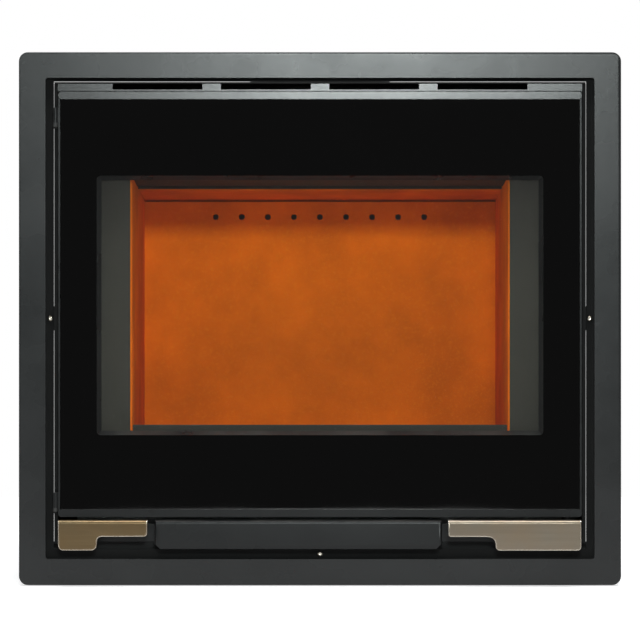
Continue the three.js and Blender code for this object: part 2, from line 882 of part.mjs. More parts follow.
// Linings
function floorLining() {
  const pocket = block(
    -grateHalf - seat, grateHalf + seat,
    grateCentre - grateDepth / 2 - seat, grateCentre + grateDepth / 2 + seat,
    grateBottom - seat, hearthTop + 1,
  );
  return cut(
    block(
      -shellInner + seat, shellInner - seat, boardFront, boardRear + boardThickness,
      hearthBottom, hearthTop,
    ),
    pocket,
    ashHole(hearthBottom - 1, hearthTop),
  );
}

function sideLining(side) {
  const back = boardRear - seat;
  const outline = polygon([
    [boardFront, hearthTop + seat], [back, hearthTop + seat],
    [back, ceilingAt(back)], [boardFront, ceilingAt(boardFront)],
  ]);
  const inner = chamberHalf;
  const outer = shellInner - seat;
  return side < 0 ? sidePlate(outline, -outer, -inner) : sidePlate(outline, inner, outer);
}

function backLining() {
  const back = boardRear + boardThickness;
  return cut(
    block(
      -shellInner + seat, shellInner - seat, boardRear, back,
      hearthTop + seat, ceilingAt(back),
    ),
    ...jets(jetRadius, boardRear - 1, back + 1),
  );
}

function grate() {
  const front = grateCentre - grateDepth / 2;
  const plate = flatPlate(
    rectangle(-grateHalf, grateHalf, front, front + grateDepth, grateCorner),
    grateBottom, hearthTop,
  );
  const pitch = (grateWidth - 2 * grateRim) / grateSlots;
  const slots = times(grateSlots, (index) => {
    const x = (index - (grateSlots - 1) / 2) * pitch;
    const slot = rectangle(
      x - grateSlotWidth / 2, x + grateSlotWidth / 2,
      front + grateRim, front + grateDepth - grateRim, grateSlotWidth / 2,
    );
    return flatPlate(slot, grateBottom - 1, hearthTop + 1, 3);
  });
  return cut(plate, ...slots);
}

function ashTray() {
  const half = ashHalf - trayGap;
  const front = ashFront + trayGap;
  const back = ashBack - trayGap;
  const low = airBoxFloor + seat;
  const wall = trayRim - traySheet;
  return cut(
    join(
      block(
        -half + wall, half - wall, front + wall, back - wall, low, low + trayHeight,
      ),
      block(
        -half, half, front, back, low + trayHeight - traySheet, low + trayHeight,
      ),
    ),
    block(
      -half + trayRim, half - trayRim, front + trayRim, back - trayRim,
      low + traySheet, low + trayHeight + 1,
    ),
  );
}

function sill() {
  const half = chamberHalf - seat;
  const back = boardFront + sillDepth;
  const low = hearthTop + seat;
  const tread = polygon([
    [-half, boardFront], [half, boardFront], [half, back - sillCorner],
    [half - sillCorner, back], [-half + sillCorner, back], [-half, back - sillCorner],
  ]);
  return join(
    flatPlate(tread, openingBottom - sillSheet, openingBottom),
    block(-half, half, boardFront, boardFront + sillSheet, low, openingBottom),
    block(
      -half + sillCorner, half - sillCorner, back - sillSheet, back, low, openingBottom,
    ),
  );
}

// Ceiling pieces, drawn level and then tilted: y runs down the slope and z stands off it.
function washChannel() {
  const half = shellInner - 2 * seat;
  const slotTop = seat + washSheet + washSlot;
  const top = seat + washHeight;
  const fold = washSheet;
  const outline = polygon([
    [seat, seat], [washEnd, seat], [washEnd, top], [seat, top], [seat, slotTop],
    [seat + fold, slotTop], [seat + fold, top - fold], [washEnd - fold, top - fold],
    [washEnd - fold, seat + fold], [seat, seat + fold],
  ]);
  const lip = block(
    -chamberHalf + seat, chamberHalf - seat, washEnd - washSheet, washEnd, -washLip, 2 * seat,
  );
  return join(sidePlate(outline, -half, half), lip);
}

const baffleEnd = (chamberDepth + boardThickness) * Math.cos(ceilingSlope) -
  boardThickness * Math.sin(ceilingSlope);

function baffle() {
  const half = shellInner - 2 * seat;
  return block(-half, half, baffleStart, baffleEnd, seat, seat + boardThickness);
}

function smokeDeflector() {
  const half = shellInner - 2 * seat - deflectorFootInset;
  const foot = 2 * seat + boardThickness;
  const low = foot + deflectorLift;
  const front = baffleStart - deflectorOverhang;
  const back = baffleEnd - deflectorGap;
  const feet = [-half, half - deflectorSheet].map((x) =>
    block(x, x + deflectorSheet, baffleStart + running, back, foot, low + 1));
  return join(
    block(-half, half, front, back, low, low + deflectorSheet),
    block(-half, half, back - deflectorSheet, back, low - deflectorLip, low + 1),
    ...feet,
  );
}

function ceilingGroup() {
  const group = new THREE.Group();
  group.position.set(0, shellFront, ceilingHeight);
  group.rotation.x = -ceilingSlope;
  group.add(
    mesh("air_wash_channel", washChannel(), darkSteel),
    mesh("baffle", baffle(), board),
    mesh("smoke_deflector", smokeDeflector(), darkSteel),
  );
  return group;
}

// Air supply
function airBox() {
  const wall = ductSheet;
  const outer = block(-airBoxHalf, airBoxHalf, airBoxFront, airBoxBack, airBoxBottom, airBoxTop);
  const inner = block(
    -airBoxHalf + wall, airBoxHalf - wall, airBoxFront + wall, airBoxBack - wall,
    airBoxFloor, airBoxTop - wall,
  );
  const mouth = (x0, x1, y0, y1) => block(x0, x1, y0, y1, airBoxTop - 2 * wall, airBoxTop + 1);
  const near = riserInner + wall;
  const far = riserOuter - wall;
  const [start, end] = [riserFront + wall, riserFront + riserWidth - wall];
  return cut(
    outer, inner,
    ashHole(airBoxTop - 2 * wall, airBoxTop + 1),
    mouth(-far, -near, start, end),
    mouth(near, far, start, end),
    mouth(
      -backRiserWidth / 2 + wall, backRiserWidth / 2 - wall,
      backRiserFront + wall, backRiserFront + riserDepth - wall,
    ),
    along(rodX, rodHeight, rodRadius + running, airBoxFront - 1, airBoxFront + 2 * wall),
    ...times(airSlots, (index) => airSlot(index, 0, airBoxBottom - 1, airBoxFloor + 1)),
  );
}

function sideRiser(side) {
  const wall = ductSheet;
  const back = riserFront + riserWidth;
  const shape = cut(
    block(riserInner, riserOuter, riserFront, back, fireBaseHeight, riserTop),
    block(
      riserInner - 1, riserOuter - wall, riserFront + wall, back - wall,
      fireBaseHeight - 1, riserTop - wall,
    ),
  );
  return side > 0 ? shape : shape.mirror([1, 0, 0]);
}

function backRiser() {
  const tee = (inset) => {
    const stem = backRiserWidth / 2 - inset;
    const arm = headerWidth / 2 - inset;
    const low = jetHeight - headerHeight / 2 + inset;
    const high = jetHeight + headerHeight / 2 - inset;
    const foot = fireBaseHeight - (inset > 0 ? 1 : 0);
    return polygon([
      [-stem, foot], [stem, foot], [stem, low], [arm, low],
      [arm, high], [-arm, high], [-arm, low], [-stem, low],
    ]);
  };
  const back = backRiserFront + riserDepth;
  return cut(
    frontPlate(tee(0), backRiserFront, back),
    frontPlate(tee(ductSheet), backRiserFront - 1, back - ductSheet),
  );
}

// Door
const doorBox = { left: -doorHalf, right: doorHalf, low: frameBottom, high: frameTop };
const ropeBox = { left: -ropeHalf, right: ropeHalf, low: ropeLow, high: ropeHigh };
const windowBox = { left: -windowHalf, right: windowHalf, low: windowBottom, high: windowTop };

function knuckle(z) {
  const top = z + knuckleHeight;
  const leafFront = hingeY + knuckleLeaf / 2;
  return join(
    upright(hingeX, hingeY, knuckleRadius, z, top),
    block(hingeX, -doorHalf + doorSheet / 2, leafFront, leafFront + knuckleLeaf, z, top),
  );
}

const spindleHole = (radius, z0, z1) => upright(spindleX, spindleY, radius, z0, z1);

function doorFrame() {
  const wallEnd = frameSheetBack + ropeWallDepth;
  const gap = ropeWidth / 2 + seat;
  const ropeWall = (outerBy, radius) => ring(
    ropeBox, outerBy, outerBy - doorSheet, frameSheetFront + doorSheet / 2, wallEnd,
    radius, radius - doorSheet,
  );
  const sheet = cut(
    frontPlate(grown(doorBox, -doorSheet / 2), frameSheetFront, frameSheetBack),
    frontPlate(grown(windowBox, 0, windowCorner), frameSheetFront - 1, frameSheetBack + 1),
  );
  const lip = cut(
    funnel(windowBox, doorSheet, doorSheet - lipInset, frameSheetFront + doorSheet / 2,
      frameSheetBack + lipDepth),
    funnel(windowBox, lipInset / lipDepth, -lipInset - lipInset / lipDepth,
      frameSheetBack - 1, frameSheetBack + lipDepth + 1),
    frontPlate(grown(windowBox, 0, windowCorner), frameSheetFront - 1, frameSheetBack),
  );
  const body = join(
    sheet,
    lip,
    ring(doorBox, 0, -doorSheet, 0, doorDepth),
    ropeWall(gap + doorSheet, ropeCorner + gap + doorSheet),
    ropeWall(-gap, ropeCorner - gap),
    knuckle(lowerKnuckle),
    knuckle(upperKnuckle),
  );
  const bore = (z) => upright(
    hingeX, hingeY, hingePinRadius + pinPlay, z - 1, z + knuckleHeight + 1,
  );
  return cut(
    body, bore(lowerKnuckle), bore(upperKnuckle),
    spindleHole(spindleRadius + pinPlay, frameBottom - 1, frameBottom + doorSheet + 1),
  );
}

function doorGlass() {
  const inset = -doorSheet - glassGap;
  return frontPlate(grown(doorBox, inset), 0, glassThickness);
}

function glassTape() {
  const outer = -doorSheet - glassGap - tapeInset;
  return ring(
    doorBox, outer, outer - tapeWidth, glassThickness + seat, frameSheetFront - seat,
  );
}

function doorRope() {
  const core = 0.5; // half the flat left between the rounded edges
  const roundness = ropeWidth / 2 - core;
  const front = frameSheetBack + seat;
  const back = fireFront - seat;
  const outline = grown(ropeBox, core, ropeCorner + core);
  outline.holes.push(grown(ropeBox, -core, ropeCorner - core));
  const slab = new THREE.ExtrudeGeometry(outline, {
    depth: back - front - 2 * roundness,
    bevelThickness: roundness,
    bevelSize: roundness,
    bevelSegments: 2,
    curveSegments: 3,
  });
  return solid(slab.applyMatrix4(frontAxes).translate(0, back - roundness, 0));
}

function doorRail(atTop) {
  const face = railSheet + seat + railSheet / 2;
  const lipLow = atTop ? doorTop - railFace : doorBottom;
  const webLow = atTop ? doorTop - railSheet : doorBottom;
  const lip = frontPlate(
    rectangle(-doorHalf, doorHalf, lipLow, lipLow + railFace, railRound), -face, -seat, 3,
  );
  const web = block(
    -doorHalf + railRound, doorHalf - railRound, -seat - 1, doorDepth,
    webLow, webLow + railSheet,
  );
  const rail = join(lip, web);
  return atTop
    ? rail
    : cut(rail, spindleHole(spindleRadius + running, doorBottom - 1, doorBottom + railFace));
}

// Hinges: an eye on the casing's front edge with a pin, which the door's knuckle drops over.
function hingeBracket(knuckleZ) {
  const top = knuckleZ - seat;
  const low = top - hingeEye;
  const eye = join(
    upright(hingeX, hingeY, knuckleRadius, low, top),
    block(-casingHalf + seat, -linerInner - seat, hingeY, casingFront - seat, low, top),
  );
  return cut(eye, upright(hingeX, hingeY, hingePinRadius + pinPlay, low - 1, top + 1));
}

function hingePin(knuckleZ) {
  const low = knuckleZ - 2 * seat - hingeEye;
  return join(
    upright(hingeX, hingeY, knuckleRadius - seat, low - hingePinHead, low),
    upright(hingeX, hingeY, hingePinRadius, low - hingePinHead, knuckleZ + knuckleHeight),
  );
}

// Handle
function handlePlateShape() {
  const step = handleRight - handleStepWidth;
  const outline = leverOutline(handleRight, step, handleLeft, handleCorners);
  return leverPlateShape(outline, handleFront, handlePlate);
}

function handleSpindle() {
  const half = hubArm / 2;
  return join(
    upright(spindleX, spindleY, hubRadius, hubBottom, hubTop),
    block(
      spindleX - half, spindleX + half, handleFront + handlePlate + seat, spindleY,
      hubBottom, hubTop,
    ),
    upright(spindleX, spindleY, spindleRadius, hubTop - 1, spindleTop),
  );
}

function latchHook() {
  const top = hookBottom + hookThickness;
  const armRight = strikerX - strikerRadius - 2 * running;
  const noseFront = strikerY + strikerRadius + running;
  const noseBack = noseFront + hookNose;
  const outline = polygon([
    [armRight - hookArm, spindleY], [armRight, spindleY], [armRight, noseFront],
    [strikerX + strikerRadius - running, noseFront], [strikerX + strikerRadius - running, noseBack],
    [armRight - hookArm, noseBack],
  ]);
  return cut(
    join(
      upright(spindleX, spindleY, hookDisc, hookBottom, top),
      flatPlate(outline, hookBottom, top),
    ),
    spindleHole(spindleRadius + pinPlay, hookBottom - 1, top + 1),
  );
}

function latchStriker() {
  const left = strikerX - strikerRadius - running;
  const right = strikerX + strikerRadius + running;
  const plateFront = fireBack + seat;
  const shelf = hookBottom + hookThickness + running;
  return join(
    block(left, right, plateFront, plateFront + strikerPlate, shelf, shelf + strikerHeight),
    block(left, right, plateFront, strikerY + strikerRadius, shelf, shelf + strikerPlate),
    upright(strikerX, strikerY, strikerRadius, hookBottom - running, shelf + 1),
  );
}

// The whole insert
const handle = turningGroup(spindleX, spindleY, [
  mesh("handle_plate", handlePlateShape(), stainless),
  mesh("handle_spindle", handleSpindle(), darkSteel),
  mesh("latch_hook", latchHook(), darkSteel),
]);

const door = turningGroup(hingeX, hingeY, [
  mesh("door_frame", doorFrame(), paint),
  mesh("door_glass", doorGlass(), blackGlass),
  mesh("glass_tape", glassTape(), rope),
  mesh("door_rope", doorRope(), rope),
  mesh("door_top_rail", doorRail(true), paint),
  mesh("door_bottom_rail", doorRail(false), paint),
  handle,
]);

const airControl = new THREE.Group();
airControl.add(
  mesh("air_lever", airLever(), stainless),
  mesh("air_rod", airRod(), darkSteel),
  mesh("air_damper", airDamper(), darkSteel),
);

const trim = new THREE.Group();
trim.add(
  mesh("trim_frame", trimFrame(), paint),
  ...Object.entries(screwPlaces).map(([place, at]) =>
    mesh(`trim_screw_${place}`, trimScrew(at), stainless)),
);

const casing = new THREE.Group();
casing.add(
  mesh("casing_left", casingSide(-1), paint),
  mesh("casing_right", casingSide(1), paint),
  mesh("casing_top", casingTopSheet(), sheetSteel),
  mesh("casing_back", casingBackSheet(), sheetSteel),
  mesh("casing_base", casingBase(), sheetSteel),
  mesh("recess_liner", recessLiner(), paint),
  mesh("base_strip", baseStrip(), paint),
  mesh("centre_bar", centreBar(), paint),
  ...footPlaces.map((place, index) =>
    mesh(`levelling_foot_${index + 1}`, levellingFoot(place), sheetSteel)),
  mesh("hinge_bracket_lower", hingeBracket(lowerKnuckle), darkSteel),
  mesh("hinge_bracket_upper", hingeBracket(upperKnuckle), darkSteel),
  mesh("hinge_pin_lower", hingePin(lowerKnuckle), stainless),
  mesh("hinge_pin_upper", hingePin(upperKnuckle), stainless),
  mesh("latch_striker", latchStriker(), darkSteel),
);

const firebox = new THREE.Group();
firebox.add(
  mesh("firebox_front", fireboxFront(), darkSteel),
  mesh("firebox_left", fireboxSide(-1), darkSteel),
  mesh("firebox_right", fireboxSide(1), darkSteel),
  mesh("firebox_back", fireboxBack(), darkSteel),
  mesh("firebox_top", fireboxTop(), darkSteel),
  mesh("firebox_base", fireboxBase(), darkSteel),
  mesh("flue_collar", flueCollar(), darkSteel),
  mesh("lining_floor", floorLining(), board),
  mesh("lining_left", sideLining(-1), board),
  mesh("lining_right", sideLining(1), board),
  mesh("lining_back", backLining(), board),
  mesh("grate", grate(), castIron),
  mesh("ash_tray", ashTray(), sheetSteel),
  mesh("sill", sill(), darkSteel),
  mesh("air_box", airBox(), sheetSteel),
  mesh("air_riser_left", sideRiser(-1), sheetSteel),
  mesh("air_riser_right", sideRiser(1), sheetSteel),
  mesh("air_riser_back", backRiser(), sheetSteel),
  ceilingGroup(),
);

const insert = new THREE.Group();
insert.add(trim, casing, firebox, door, airControl);
insert.position.y = -bodyMiddle;

export default insert;
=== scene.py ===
"""Looks of a cassette fireplace insert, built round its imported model."""
from math import atan2, cos, pi, radians, sin

import bmesh
import bpy
from bpy.props import FloatProperty, FloatVectorProperty, PointerProperty
from mathutils import Matrix, Vector


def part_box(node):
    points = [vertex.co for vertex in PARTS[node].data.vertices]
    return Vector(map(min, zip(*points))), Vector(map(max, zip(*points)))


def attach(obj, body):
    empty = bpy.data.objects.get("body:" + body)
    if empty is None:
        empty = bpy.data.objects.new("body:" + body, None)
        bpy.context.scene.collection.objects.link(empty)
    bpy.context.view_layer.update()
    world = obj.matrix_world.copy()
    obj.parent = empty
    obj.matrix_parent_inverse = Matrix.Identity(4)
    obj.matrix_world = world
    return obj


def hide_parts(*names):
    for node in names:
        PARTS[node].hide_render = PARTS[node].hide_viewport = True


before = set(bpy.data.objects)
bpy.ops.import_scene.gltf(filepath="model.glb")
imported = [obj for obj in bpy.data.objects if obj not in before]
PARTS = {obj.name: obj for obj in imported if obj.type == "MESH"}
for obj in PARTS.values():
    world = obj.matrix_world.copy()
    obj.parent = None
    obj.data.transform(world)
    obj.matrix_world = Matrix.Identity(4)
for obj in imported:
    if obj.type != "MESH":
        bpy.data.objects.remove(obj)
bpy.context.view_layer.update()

bl_info = {
    "name": "Fireplace Insert",
    "version": (1, 0, 0),
    "blender": (4, 5, 0),
    "location": "View3D > Sidebar > Insert",
    "description": "Dresses the packed fireplace insert with its finishes and fittings",
    "category": "Object",
}

MM = 0.001
WELD = 0.001 * MM                    # corners closer than this are one corner
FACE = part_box("trim_frame")[0].y     # the plane of the trim frame's face

# Turned forms, as (radius, height) in millimetres.
SCREW_PROFILE = (
    (0, 6.5), (1.5, 6.5), (1.5, 1.8), (2.6, 1.8), (2.7, 1.3), (2.55, 0.75),
    (2.1, 0.3), (1.5, 0.06), (1.2, 0), (1.2, 1.1), (0, 1.1),
)
SOCKET_RADIUS = 1.2 * MM
RIVET_PROFILE = (
    (0, -1), (1.6, -1), (1.6, 0), (3.1, 0), (3, 0.35), (2.4, 0.85), (1.6, 1.15),
    (0.9, 1.2), (0.8, 0.9), (0, 0.9),
)
PAD_PROFILE = (
    (0, 0), (12.6, 0), (13.5, 0.4), (14, 1.2), (14, 2.6), (13.4, 3.4), (10.2, 4.3),
    (8.6, 5.4), (8.2, 7.4), (7.4, 8.2), (4, 8.4), (0, 8.4),
)
NUT_PROFILE = ((0, 0), (7.4, 0), (9, 0.9), (9, 6.1), (7.4, 7), (0, 7))
NUT_RADIUS = 9 * MM


# ---------------------------------------------------------------- settings

def length(name, millimetres, description, low=0):
    """A size, whose default and lowest value are written in millimetres."""
    return FloatProperty(
        name=name, description=description, default=millimetres * MM, min=low * MM,
        subtype="DISTANCE", unit="LENGTH",
    )


def level(name, default, description):
    return FloatProperty(name=name, description=description, default=default, min=0)


def colour(name, rgb, description):
    return FloatVectorProperty(
        name=name, description=description, default=rgb, min=0, max=1,
        size=3, subtype="COLOR",
    )


class InsertSizes(bpy.types.PropertyGroup):
    sheet_edge: length("Sheet edge", 0.35, "Rounding of a cut sheet edge")
    plate_edge: length("Plate edge", 0.6, "Rounding of a thick plate's edge")
    lever_edge: length("Lever edge", 1.1, "Polished rounding of handle and lever plates")
    board_edge: length("Board edge", 1.2, "Worn rounding of the lining boards")
    # Painted shade: behind this depth the trim's paint turns near black, standing for the shade in
    # its reveal.
    reveal_depth: length("Reveal depth", 2.5, "Behind the trim's face, where its primer starts")
    # Painted shade: in front of this depth the casing's zinc is near black, standing for the dark
    # gap behind the trim.
    painted_shade_depth: length("Painted depth", 40, "Behind the trim's face, where bare zinc starts")
    lip_reach: length("Lip reach", 2.2, "How far the lower lip runs in behind the trim")
    rail_foot: length("Rail foot", 12, "Depth of the ember rail's foot on the sill")
    rail_rise: length("Rail rise", 9, "Height of the ember rail above the sill")
    rail_wall: length("Rail wall", 1.5, "Thickness of the ember rail's sheet")
    rope_width: length("Rope width", 10.2, "Width of the door rope across its channel")
    rope_corner: length("Rope corner", 12, "Radius of the rope's middle at a corner")
    tape_width: length("Tape width", 12, "Width of the tape behind the glass")
    stud_radius: length("Stud radius", 5, "Outer radius of the feet's threaded studs")
    thread_pitch: length("Thread pitch", 1.5, "From one turn of a stud's thread to the next")
    window_half: length("Window half width", 222.5, "From the door's middle to the print's edge")
    window_low: length("Window bottom", 150.5, "Height of the window's lower edge")
    window_high: length("Window top", 409, "Height of the window's upper edge")
    window_corner: length("Window corner", 4, "Corner radius of the clear window")


class InsertColours(bpy.types.PropertyGroup):
    paint: colour("Stove paint", (0.0062, 0.0068, 0.007), "Satin paint of trim, door and bar")
    rubbed: colour("Rubbed paint", (0.06, 0.062, 0.064), "Paint worn thin along an edge")
    # Near black: the hinge pins' own primer, and painted shade in the trim's reveal, on the casing
    # sides and on the casing's front strips.
    primer_and_shade: colour("Primer", (0.0025, 0.0027, 0.0027), "Black primer behind the trim's face")
    fire_paint: colour("Firebox paint", (0.021, 0.021, 0.0205), "Matt paint of the firebox steel")
    sooted: colour("Sooted paint", (0.022, 0.0215, 0.0172), "Firebox paint dulled by smoke")
    sooted_pale: colour("Sooted clouds", (0.028, 0.0273, 0.022), "Paler clouds in sooted paint")
    stainless: colour("Stainless", (0.178, 0.156, 0.124), "Brushed steel of the handle")
    # Painted shade: a darker, browner copy of the stainless, for the air lever that sits in weaker
    # light.
    shade_darkened: colour("Tanned stainless", (0.124, 0.092, 0.052), "Heat-tanned steel of the air lever")
    # Painted highlight: much paler than the stainless, it lights up the plates' edges; partly real
    # polish.
    polished_highlight: colour("Polished edge", (0.92, 0.87, 0.78), "Polished edges of brushed steel")
    zinc: colour("Zinc", (0.42, 0.44, 0.45), "Zinc-coated sheet of casing and ducts")
    # Painted light: the board and its flakes, grit and worn edges are deep orange, the fire's glow
    # painted into the board's colour.
    firelit_board: colour("Board", (0.93, 0.195, 0.002), "Insulating board, tanned by heat")
    flake: colour("Board flakes", (0.95, 0.33, 0.012), "Pale flakes pressed into the board")
    grit: colour("Board grit", (0.2, 0.055, 0.002), "Dark grit in the board")
    firelit_board_wear: colour("Board wear", (0.95, 0.29, 0.008), "Rubbed edges of the board")
    iron: colour("Cast iron", (0.035, 0.032, 0.03), "Raw cast iron of the grate")
    rust: colour("Rust", (0.075, 0.045, 0.03), "Brown clouds on the cast iron")
    clear: colour("Clear glass", (0.96, 0.965, 0.955), "Glass inside its printed border")
    printing: colour("Glass print", (0.0068, 0.006, 0.0048), "Black border printed on the glass")
    rope: colour("Rope", (0.1, 0.098, 0.092), "Glass-fibre rope and tape")
    soot: colour("Soot", (0.012, 0.01, 0.009), "Soot on boards and steel")
    ash: colour("Ash", (0.33, 0.31, 0.28), "Pale ash dust")


class StageSettings(bpy.types.PropertyGroup):
    distance: length("Camera distance", 3500, "From the trim's face to the camera", low=500)
    height: length("Camera height", 282.4, "Height of the camera above the floor")
    width_seen: length("Width seen", 637.4, "Width of the view at the trim's face", low=100)
    middle_seen: length("Middle seen", 265.2, "Height at the middle of the view")
    key_strength: level("Key light", 150, "Radiance of the soft light above the camera")
    overhead_strength: level("Overhead light", 18, "Radiance of the soft light over the insert")
    room_level: level("Room level", 0.42, "Light that the room gives from every side")
    dark_side: level("Dark side", 0.13, "What gloss sees of the room behind the camera")
    floor_grey: level("Floor grey", 0.86, "How pale the floor is")
    floor_lift: level("Floor lift", 0.52, "What makes the lit floor read as white")


GROUPS = (InsertSizes, InsertColours, StageSettings)


def sizes():
    return bpy.context.scene.insert_sizes


def colours():
    return bpy.context.scene.insert_colours


# ---------------------------------------------------------------- node helpers

def put(tree, kind, inputs=None, **settings):
    """A new node with its settings, and with a value or a link on each named input."""
    node = tree.nodes.new(kind)
    for key, value in settings.items():
        setattr(node, key, value)
    for socket, value in (inputs or {}).items():
        feed(tree, node.inputs[socket], value)
    return node


def feed(tree, socket, value):
    if isinstance(value, bpy.types.NodeSocket):
        tree.links.new(value, socket)
    else:
        socket.default_value = value


def calc(tree, operation, *values, clamp=False):
    node = put(tree, "ShaderNodeMath", operation=operation, use_clamp=clamp)
    for index, value in enumerate(values):
        feed(tree, node.inputs[index], value)
    return node.outputs[0]


def span(tree, value, low, high, to_low=0.0, to_high=1.0):
    """Maps low..high to to_low..to_high, and holds the ends."""
    node = put(tree, "ShaderNodeMapRange", {
        "Value": value, "From Min": low, "From Max": high,
        "To Min": to_low, "To Max": to_high,
    })
    return node.outputs["Result"]


def blend_colour(tree, mask, first, second):
    """The first colour where the mask is 0, and the second where it is 1."""
    node = put(tree, "ShaderNodeMix", data_type="RGBA")
    feed(tree, node.inputs["Factor"], mask)
    colour_inputs = [socket for socket in node.inputs if socket.type == "RGBA"]
    for socket, value in zip(colour_inputs, (first, second)):
        if not isinstance(value, bpy.types.NodeSocket):
            value = (*value, 1)
        feed(tree, socket, value)
    return next(socket for socket in node.outputs if socket.type == "RGBA")


def noise(tree, vector, scale, detail=3.0, roughness=0.55):
    node = put(tree, "ShaderNodeTexNoise", {
        "Vector": vector, "Scale": scale, "Detail": detail, "Roughness": roughness,
    })
    return node.outputs["Fac"]


def stretched(tree, vector, scale):
    """The vector with each axis scaled on its own."""
    return put(tree, "ShaderNodeMapping", {"Vector": vector, "Scale": scale}).outputs[0]


def effect(name, inputs, outputs, build):
    """A shader node group, made once: inputs and outputs are (name, kind, default)."""
    if name in bpy.data.node_groups:
        return bpy.data.node_groups[name]
    tree = bpy.data.node_groups.new(name, "ShaderNodeTree")
    for label, kind, default in inputs:
        socket = tree.interface.new_socket(label, in_out="INPUT", socket_type=kind)
        if default is not None:
            socket.default_value = default
    for label, kind in outputs:
        tree.interface.new_socket(label, in_out="OUTPUT", socket_type=kind)
    source = tree.nodes.new("NodeGroupInput").outputs
    sink = tree.nodes.new("NodeGroupOutput").inputs
    for label, value in build(tree, source).items():
        feed(tree, sink[label], value)
    return tree


NUMBER, VECTOR = "NodeSocketFloat", "NodeSocketVector"


def use(tree, group, **inputs):
    node = tree.nodes.new("ShaderNodeGroup")
    node.node_tree = group
    for label, value in inputs.items():
        feed(tree, node.inputs[label], value)
    return node.outputs


# ---------------------------------------------------------------- shared effects

def powder_skin():
    """The fine, slightly wavy skin of sprayed stove paint."""
    def build(tree, given):
        fine = noise(tree, given["Vector"], scale=2600, detail=2)
        wave = noise(tree, given["Vector"], scale=160, detail=2)
        cloud = noise(tree, given["Vector"], scale=14, detail=3)
        height = calc(tree, "MULTIPLY_ADD", wave, 0.6, calc(tree, "MULTIPLY", fine, 0.4))
        return {"Height": height, "Cloud": span(tree, cloud, 0.3, 0.7)}
    return effect(
        "Powder Skin", [("Vector", VECTOR, None)], [("Height", NUMBER), ("Cloud", NUMBER)], build,
    )


def edge_wear_and_highlight():
    """1 where an edge is rubbed, broken up along its length; with Even at 1 the whole edge, which
    brushed steel uses as a painted highlight.
    """
    def build(tree, given):
        rounded = put(tree, "ShaderNodeBevel", {"Radius": given["Width"]}, samples=4)
        normal = put(tree, "ShaderNodeNewGeometry").outputs["Normal"]
        facing = put(tree, "ShaderNodeVectorMath", operation="DOT_PRODUCT")
        feed(tree, facing.inputs[0], rounded.outputs[0])
        feed(tree, facing.inputs[1], normal)
        edge = span(tree, facing.outputs["Value"], 0.995, 0.9)
        broken = span(tree, noise(tree, given["Vector"], scale=120, detail=4), 0.42, 0.62)
        whole = calc(tree, "MAXIMUM", broken, given["Even"])
        return {"Mask": calc(tree, "MULTIPLY", edge, whole, clamp=True)}
    return effect(
        "Edge Wear",
        [("Vector", VECTOR, None), ("Width", NUMBER, 0.8 * MM), ("Even", NUMBER, 0.0)],
        [("Mask", NUMBER)], build,
    )


def past_depth():
    """1 further back than a depth along Y, 0 in front of it."""
    def build(tree, given):
        y = put(tree, "ShaderNodeSeparateXYZ", {0: given["Vector"]}).outputs["Y"]
        return {"Mask": calc(tree, "GREATER_THAN", y, given["Depth"])}
    return effect(
        "Past Depth", [("Vector", VECTOR, None), ("Depth", NUMBER, 0.0)],
        [("Mask", NUMBER)], build,
    )


def settled_dust():
    """Dust lying on what faces up."""
    def build(tree, given):
        normal = put(tree, "ShaderNodeNewGeometry").outputs["Normal"]
        up = put(tree, "ShaderNodeSeparateXYZ", {0: normal}).outputs["Z"]
        lying = span(tree, up, 0.55, 1.0)
        drift = noise(tree, given["Vector"], scale=22, detail=5, roughness=0.65)
        grains = noise(tree, given["Vector"], scale=900, detail=1)
        cover = calc(tree, "MAXIMUM", span(tree, drift, 0.38, 0.68), span(tree, grains, 0.62, 0.72))
        mask = calc(tree, "MULTIPLY", calc(tree, "MULTIPLY", lying, cover), given["Amount"])
        return {"Mask": mask}
    return effect(
        "Settled Dust", [("Vector", VECTOR, None), ("Amount", NUMBER, 0.3)],
        [("Mask", NUMBER)], build,
    )


def brushed_lines():
    """Long fine scratches along X, with a few broader bands."""
    def build(tree, given):
        fine = stretched(tree, given["Vector"], (14, 2400, 2400))
        broad = stretched(tree, given["Vector"], (5, 260, 260))
        hair = noise(tree, fine, scale=1, detail=3, roughness=0.7)
        band = noise(tree, broad, scale=1, detail=2)
        patch = noise(tree, given["Vector"], scale=26, detail=3)
        tone = calc(tree, "MULTIPLY_ADD", hair, 0.55, calc(tree, "MULTIPLY", band, 0.45))
        return {"Tone": tone, "Height": hair, "Patch": span(tree, patch, 0.3, 0.7)}
    return effect(
        "Brushed Lines", [("Vector", VECTOR, None)],
        [("Tone", NUMBER), ("Height", NUMBER), ("Patch", NUMBER)], build,
    )


def zinc_spangle():
    """The crystal facets of a zinc coating."""
    def build(tree, given):
        waver, reach = put(tree, "ShaderNodeTexNoise", {
            "Vector": given["Vector"], "Scale": 90.0, "Detail": 2.0,
        }).outputs["Color"], 6 * MM
        bent = put(tree, "ShaderNodeVectorMath", {
            0: waver, 1: (reach, reach, reach), 2: given["Vector"],
        }, operation="MULTIPLY_ADD").outputs[0]
        cells = put(tree, "ShaderNodeTexVoronoi", {"Vector": bent, "Scale": 95.0})
        shade = put(tree, "ShaderNodeSeparateColor", {0: cells.outputs["Color"]}).outputs[0]
        cloud = noise(tree, given["Vector"], scale=9, detail=4)
        return {"Tone": shade, "Cloud": cloud}
    return effect(
        "Zinc Spangle", [("Vector", VECTOR, None)], [("Tone", NUMBER), ("Cloud", NUMBER)], build,
    )


